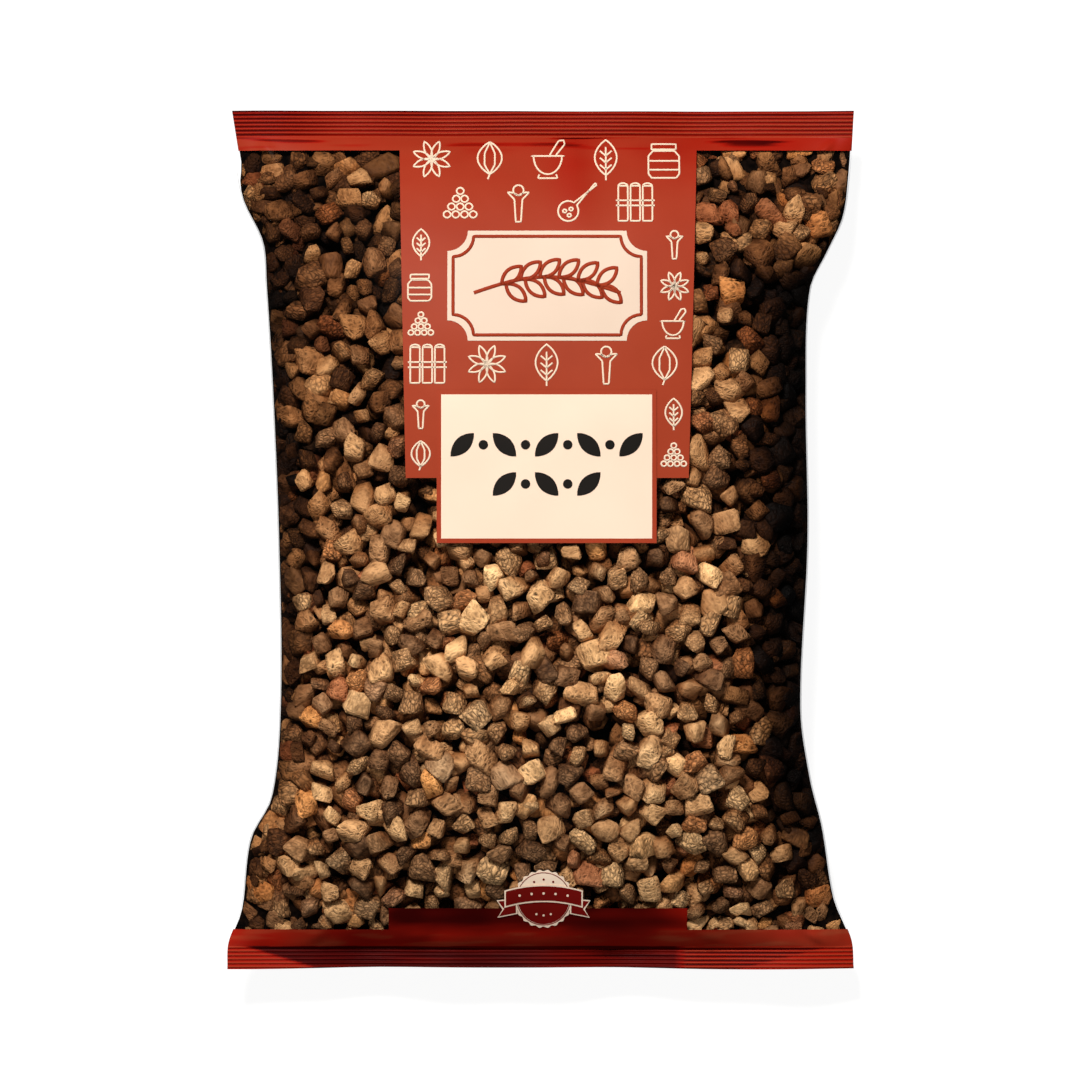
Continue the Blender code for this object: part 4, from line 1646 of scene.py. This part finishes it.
# %% Plaque on the panel
PLAQUE_CENTRE = (1.1 * MM, 42.3 * MM)
PLAQUE_HALF = (16.6 * MM, 9.2 * MM)
PLAQUE_NOTCH = 3.4 * MM
PLAQUE_LINE_IN = 0.95 * MM
PLAQUE_LINE_LIFT = PRINT_LIFT + 0.04 * MM
SPRIG_HALF = 12.2 * MM


def plaque_outline(inset):
    """Oblong whose corners are scooped out, drawn in by an inset."""
    points = []
    for side, end, start in ((1, 1, 0.75), (-1, 1, 1.0), (-1, -1, 0.25), (1, -1, 0.5)):
        x = PLAQUE_CENTRE[0] + side * (PLAQUE_HALF[0] - inset)
        y = PLAQUE_CENTRE[1] + end * (PLAQUE_HALF[1] - inset)
        points += arc(x, y, PLAQUE_NOTCH, PLAQUE_NOTCH, start, start - 0.25, 8)
    return points


def stem_height(x):
    """Height of the sprig's bowed stem at x, from -1 to 1."""
    return 0.22 * math.sin(math.pi * (x + 1.0) / 2.0) - 0.10


def sprig_strokes():
    """Branch of cardamom: a bowed stem with leaves on both sides."""
    leaves = []
    for index in range(6):
        x = -0.62 + index * 0.26
        for shift, turn in ((0.0, 0.115), (0.06, -0.115)):
            leaves.append(petal(x + shift, stem_height(x), turn, 0.36, 0.085, 8))
    stem = [(x, stem_height(x)) for x in even_rows(-1.0, 1.0, 1.0 / 6.0)]
    return moved(opened(stem) + closed(*leaves), *PLAQUE_CENTRE, SPRIG_HALF)


plaque_red = printed_material("plaque red", (0.265, 0.032, 0.012), (0.240, 0.027, 0.010))
plaque_cream = printed_material("plaque cream", (0.585, 0.462, 0.372), (0.570, 0.447, 0.358))
inner = closed(plaque_outline(PLAQUE_LINE_IN))
join("plaque", [
    fan_plate("plaque plate", PLAQUE_CENTRE, spaced(plaque_outline(0.0)), plaque_cream, PRINT_LIFT),
    pen_lines("plaque line", inner, plaque_red, 0.55 * MM, PLAQUE_LINE_LIFT),
    pen_lines("plaque sprig", sprig_strokes(), plaque_red, 0.62 * MM, PLAQUE_LINE_LIFT),
], "pouch_film")

# %% [markdown]
# In the middle of the foot sits a small round seal: a cream disc with a frilled edge, a dark red
# ribbon across it with a cream outline, and rows of dots. It carries no words. Its plates lie in
# thin layers over one another.

# %% Round seal with a ribbon
SEAL_CENTRE = (0.5 * MM, -59.9 * MM)
SEAL_LAYER = 0.035 * MM
# The rest of the seal is in millimetres from its middle.
SEAL_RADIUS = 5.0
FRILL_DEPTH = 0.30
FRILLS = 22
STEPS_PER_FRILL = 6
RING_RADIUS = 4.45
FOOT_RADIUS = 4.3
FOOT_MIDDLE = (0.0, -2.0)
RIBBON_RISE = 0.95
RIBBON_HALF = 6.4
TAIL = [(4.6, 0.9), (7.6, 0.6), (6.6, -0.7), (7.5, -2.0), (4.6, -1.4)]
TAIL_DROP = 1.0
TAIL_MIDDLE = (5.7, -1.5)
DOT_CIRCLE = 3.3


def from_seal(x, y):
    """Place that lies x, y from the seal's middle."""
    return SEAL_CENTRE[0] + x * MM, SEAL_CENTRE[1] + y * MM


def layer_lift(layer):
    """Lift of one of the seal's layers."""
    return PRINT_LIFT + layer * SEAL_LAYER


def frilled_edge():
    """Outline of the seal, with its frills."""
    outline = []
    for index in range(FRILLS * STEPS_PER_FRILL):
        turn = TURN * index / (FRILLS * STEPS_PER_FRILL)
        reach = SEAL_RADIUS - FRILL_DEPTH * (0.5 - 0.5 * math.cos(FRILLS * turn))
        outline.append(from_seal(reach * math.cos(turn), reach * math.sin(turn)))
    return outline


def ribbon_bow(x):
    """How far the ribbon's middle line rises at x."""
    return RIBBON_RISE * (1.0 - (x / RIBBON_HALF) ** 2)


def ribbon_rows(half_width, half_height):
    """Grid of points over the bowed ribbon."""
    columns = even_rows(-half_width, half_width, half_width / 13.0)
    ups = even_rows(-half_height, half_height, half_height / 2.0)
    return [[from_seal(x, ribbon_bow(x) + up) for x in columns] for up in ups]


def ribbon_tail(side, grow):
    """Middle and outline of the ribbon's notched tail at one side, grown on all its edges."""
    middle_x, middle_y = [sum(values) / len(TAIL) for values in zip(*TAIL)]
    outline = []
    for x, y in TAIL:
        away = Vector((x - middle_x, y - middle_y))
        x, y = Vector((x, y)) + away.normalized() * grow
        outline.append(from_seal(side * x, y - TAIL_DROP))
    return from_seal(side * TAIL_MIDDLE[0], TAIL_MIDDLE[1]), spaced(outline[::side])


# Painted light: the seal's cream is much lighter than the other creams, to make up for the weaker light on
# the sloping foot of the pouch.
seal_cream_painted_light = printed_material("seal cream", (0.94, 0.755, 0.60), (0.86, 0.68, 0.53))
seal_red = printed_material("seal red", (0.180, 0.005, 0.004), (0.140, 0.004, 0.003))
foot = [from_seal(x, y) for x, y in arc(0.0, 0.0, FOOT_RADIUS, FOOT_RADIUS, 0.5, 1.0, 30)]
ring = [from_seal(x, y) for x, y in oval(0.0, 0.0, RING_RADIUS, RING_RADIUS, 48)]
seal_parts = [
    fan_plate("seal disc", SEAL_CENTRE, frilled_edge(), seal_cream_painted_light, layer_lift(0)),
    fan_plate("seal foot", from_seal(*FOOT_MIDDLE), spaced(foot), seal_red, layer_lift(1)),
    pen_lines("seal ring", closed(ring), seal_red, 0.14 * MM, layer_lift(1)),
]
for side in (-1, 1):
    for grow, ink, layer in ((0.30, seal_cream_painted_light, 2), (-0.02, seal_red, 3)):
        seal_parts.append(fan_plate("tail", *ribbon_tail(side, grow), ink, layer_lift(layer)))
for width, height, ink, layer in ((6.55, 1.48, seal_cream_painted_light, 4), (6.30, 1.22, seal_red, 5)):
    ribbon = grid_plate("ribbon", ribbon_rows(width, height), PLATE_THICKNESS)
    seal_parts.append(lay(ribbon, ink, layer_lift(layer)))
dots = [(x, ribbon_bow(x), 0.22, seal_cream_painted_light, 6) for x in (-4.0, -2.0, 0.0, 2.0, 4.0)]
for turn in (0.10, 0.17, 0.25, 0.33, 0.40):
    dots += [(x, y, 0.20, seal_red, 1) for x, y in turned(0.0, 0.0, turn, [(DOT_CIRCLE, 0.0)])]
dots += [(x, y, 0.20, seal_cream_painted_light, 2) for x, y in ((-1.2, -2.6), (0.0, -2.8), (1.2, -2.6))]
for x, y, radius, ink, layer in dots:
    outline = [from_seal(*point) for point in oval(x, y, radius, radius, 8)]
    seal_parts.append(fan_plate("dot", from_seal(x, y), outline, ink, layer_lift(layer)))
join("round_seal", seal_parts, "pouch_film")

# %% [markdown]
# On the label, plain dark shapes stand in two rows: pods that lean by turns, with a round seed
# between each pair. They are solid print, so they are fan plates as well.

# %% Dark print on the label
LABEL_PRINT_LIFT = LABEL_LIFT + LABEL_THICKNESS + 0.02 * MM
POD_HALF = (2.75 * MM, 1.30 * MM)
POD_PITCH = 7.0 * MM
DOT_RADIUS = 0.80 * MM
LABEL_ROWS = [(15.8 * MM, 5), (9.3 * MM, 3)]

label_black = printed_material("label black", (0.012, 0.010, 0.009), (0.009, 0.008, 0.007))
pod = [(x * POD_HALF[0], y * POD_HALF[1]) for x, y in petal(-1.0, 0.0, 0.0, 2.0, 1.0, 12)]
dark_parts = []
for y, count in LABEL_ROWS:
    for index in range(count):
        x = LABEL_CENTRE[0] + (index - (count - 1) / 2.0) * POD_PITCH
        outline = turned(x, y, 0.375 if index % 2 else 0.125, pod)
        dark_parts.append(fan_plate("label pod", (x, y), outline, label_black, LABEL_PRINT_LIFT))
        if index < count - 1:
            x += POD_PITCH / 2.0
            outline = oval(x, y, DOT_RADIUS, DOT_RADIUS, 14)
            dark_parts.append(fan_plate("label seed", (x, y), outline, label_black, LABEL_PRINT_LIFT))
join("label_print", dark_parts, "product_label")

# %% [markdown]
# A pouch like this is made from one flat web of film, wrapped round and welded to itself down the
# back. Where the two edges lap, the film is double: a milky strip inside the back, with the fine
# cross lines of the welding wheel.

# %% Lapped seam down the back
SEAM_HALF = 5.0 * MM
SEAM_GAP = 0.10 * MM
SEAM_THICKNESS = 0.12 * MM
SEAM_REACH = 65.0 * MM
SEAM_STEP = 0.5 * MM
SEAM_COLUMN = 1.0 * MM


def seam_material():
    """Milky welded film, partly see-through, with cross lines."""
    material, tree, shader = new_material(
        "welded seam", Base_Color=(0.80, 0.78, 0.75, 1.0), Roughness=0.35)
    wave = {"Scale": 260.0, "Vector": add_node(tree, "ShaderNodeTexCoord").outputs["Object"]}
    lines = add_node(tree, "ShaderNodeTexWave", wave, bands_direction="Y").outputs["Fac"]
    see_through(tree, range_of(tree, lines, To_Min=0.22, To_Max=0.42), (1.0, 1.0, 1.0), shader)
    bump_of(tree, lines, 0.4, 0.1 * MM, shader)
    return material


def make_seam():
    """Inner strip of the lap, just above the back of the film."""
    columns = even_rows(-SEAM_HALF, SEAM_HALF, SEAM_COLUMN)
    rows = [[(x, y) for x in columns] for y in even_rows(-SEAM_REACH, SEAM_REACH, SEAM_STEP)]
    seam = grid_plate("back_seam", rows, SEAM_THICKNESS)
    for point in seam.data.vertices:
        x, y, z = point.co
        point.co.z = room_at(x, y)[0] + SEAM_GAP + z
    seam.data.materials.append(seam_material())
    smooth_but_sharp(seam, 40.0)
    return seam


finish_piece(make_seam(), "pouch_film")
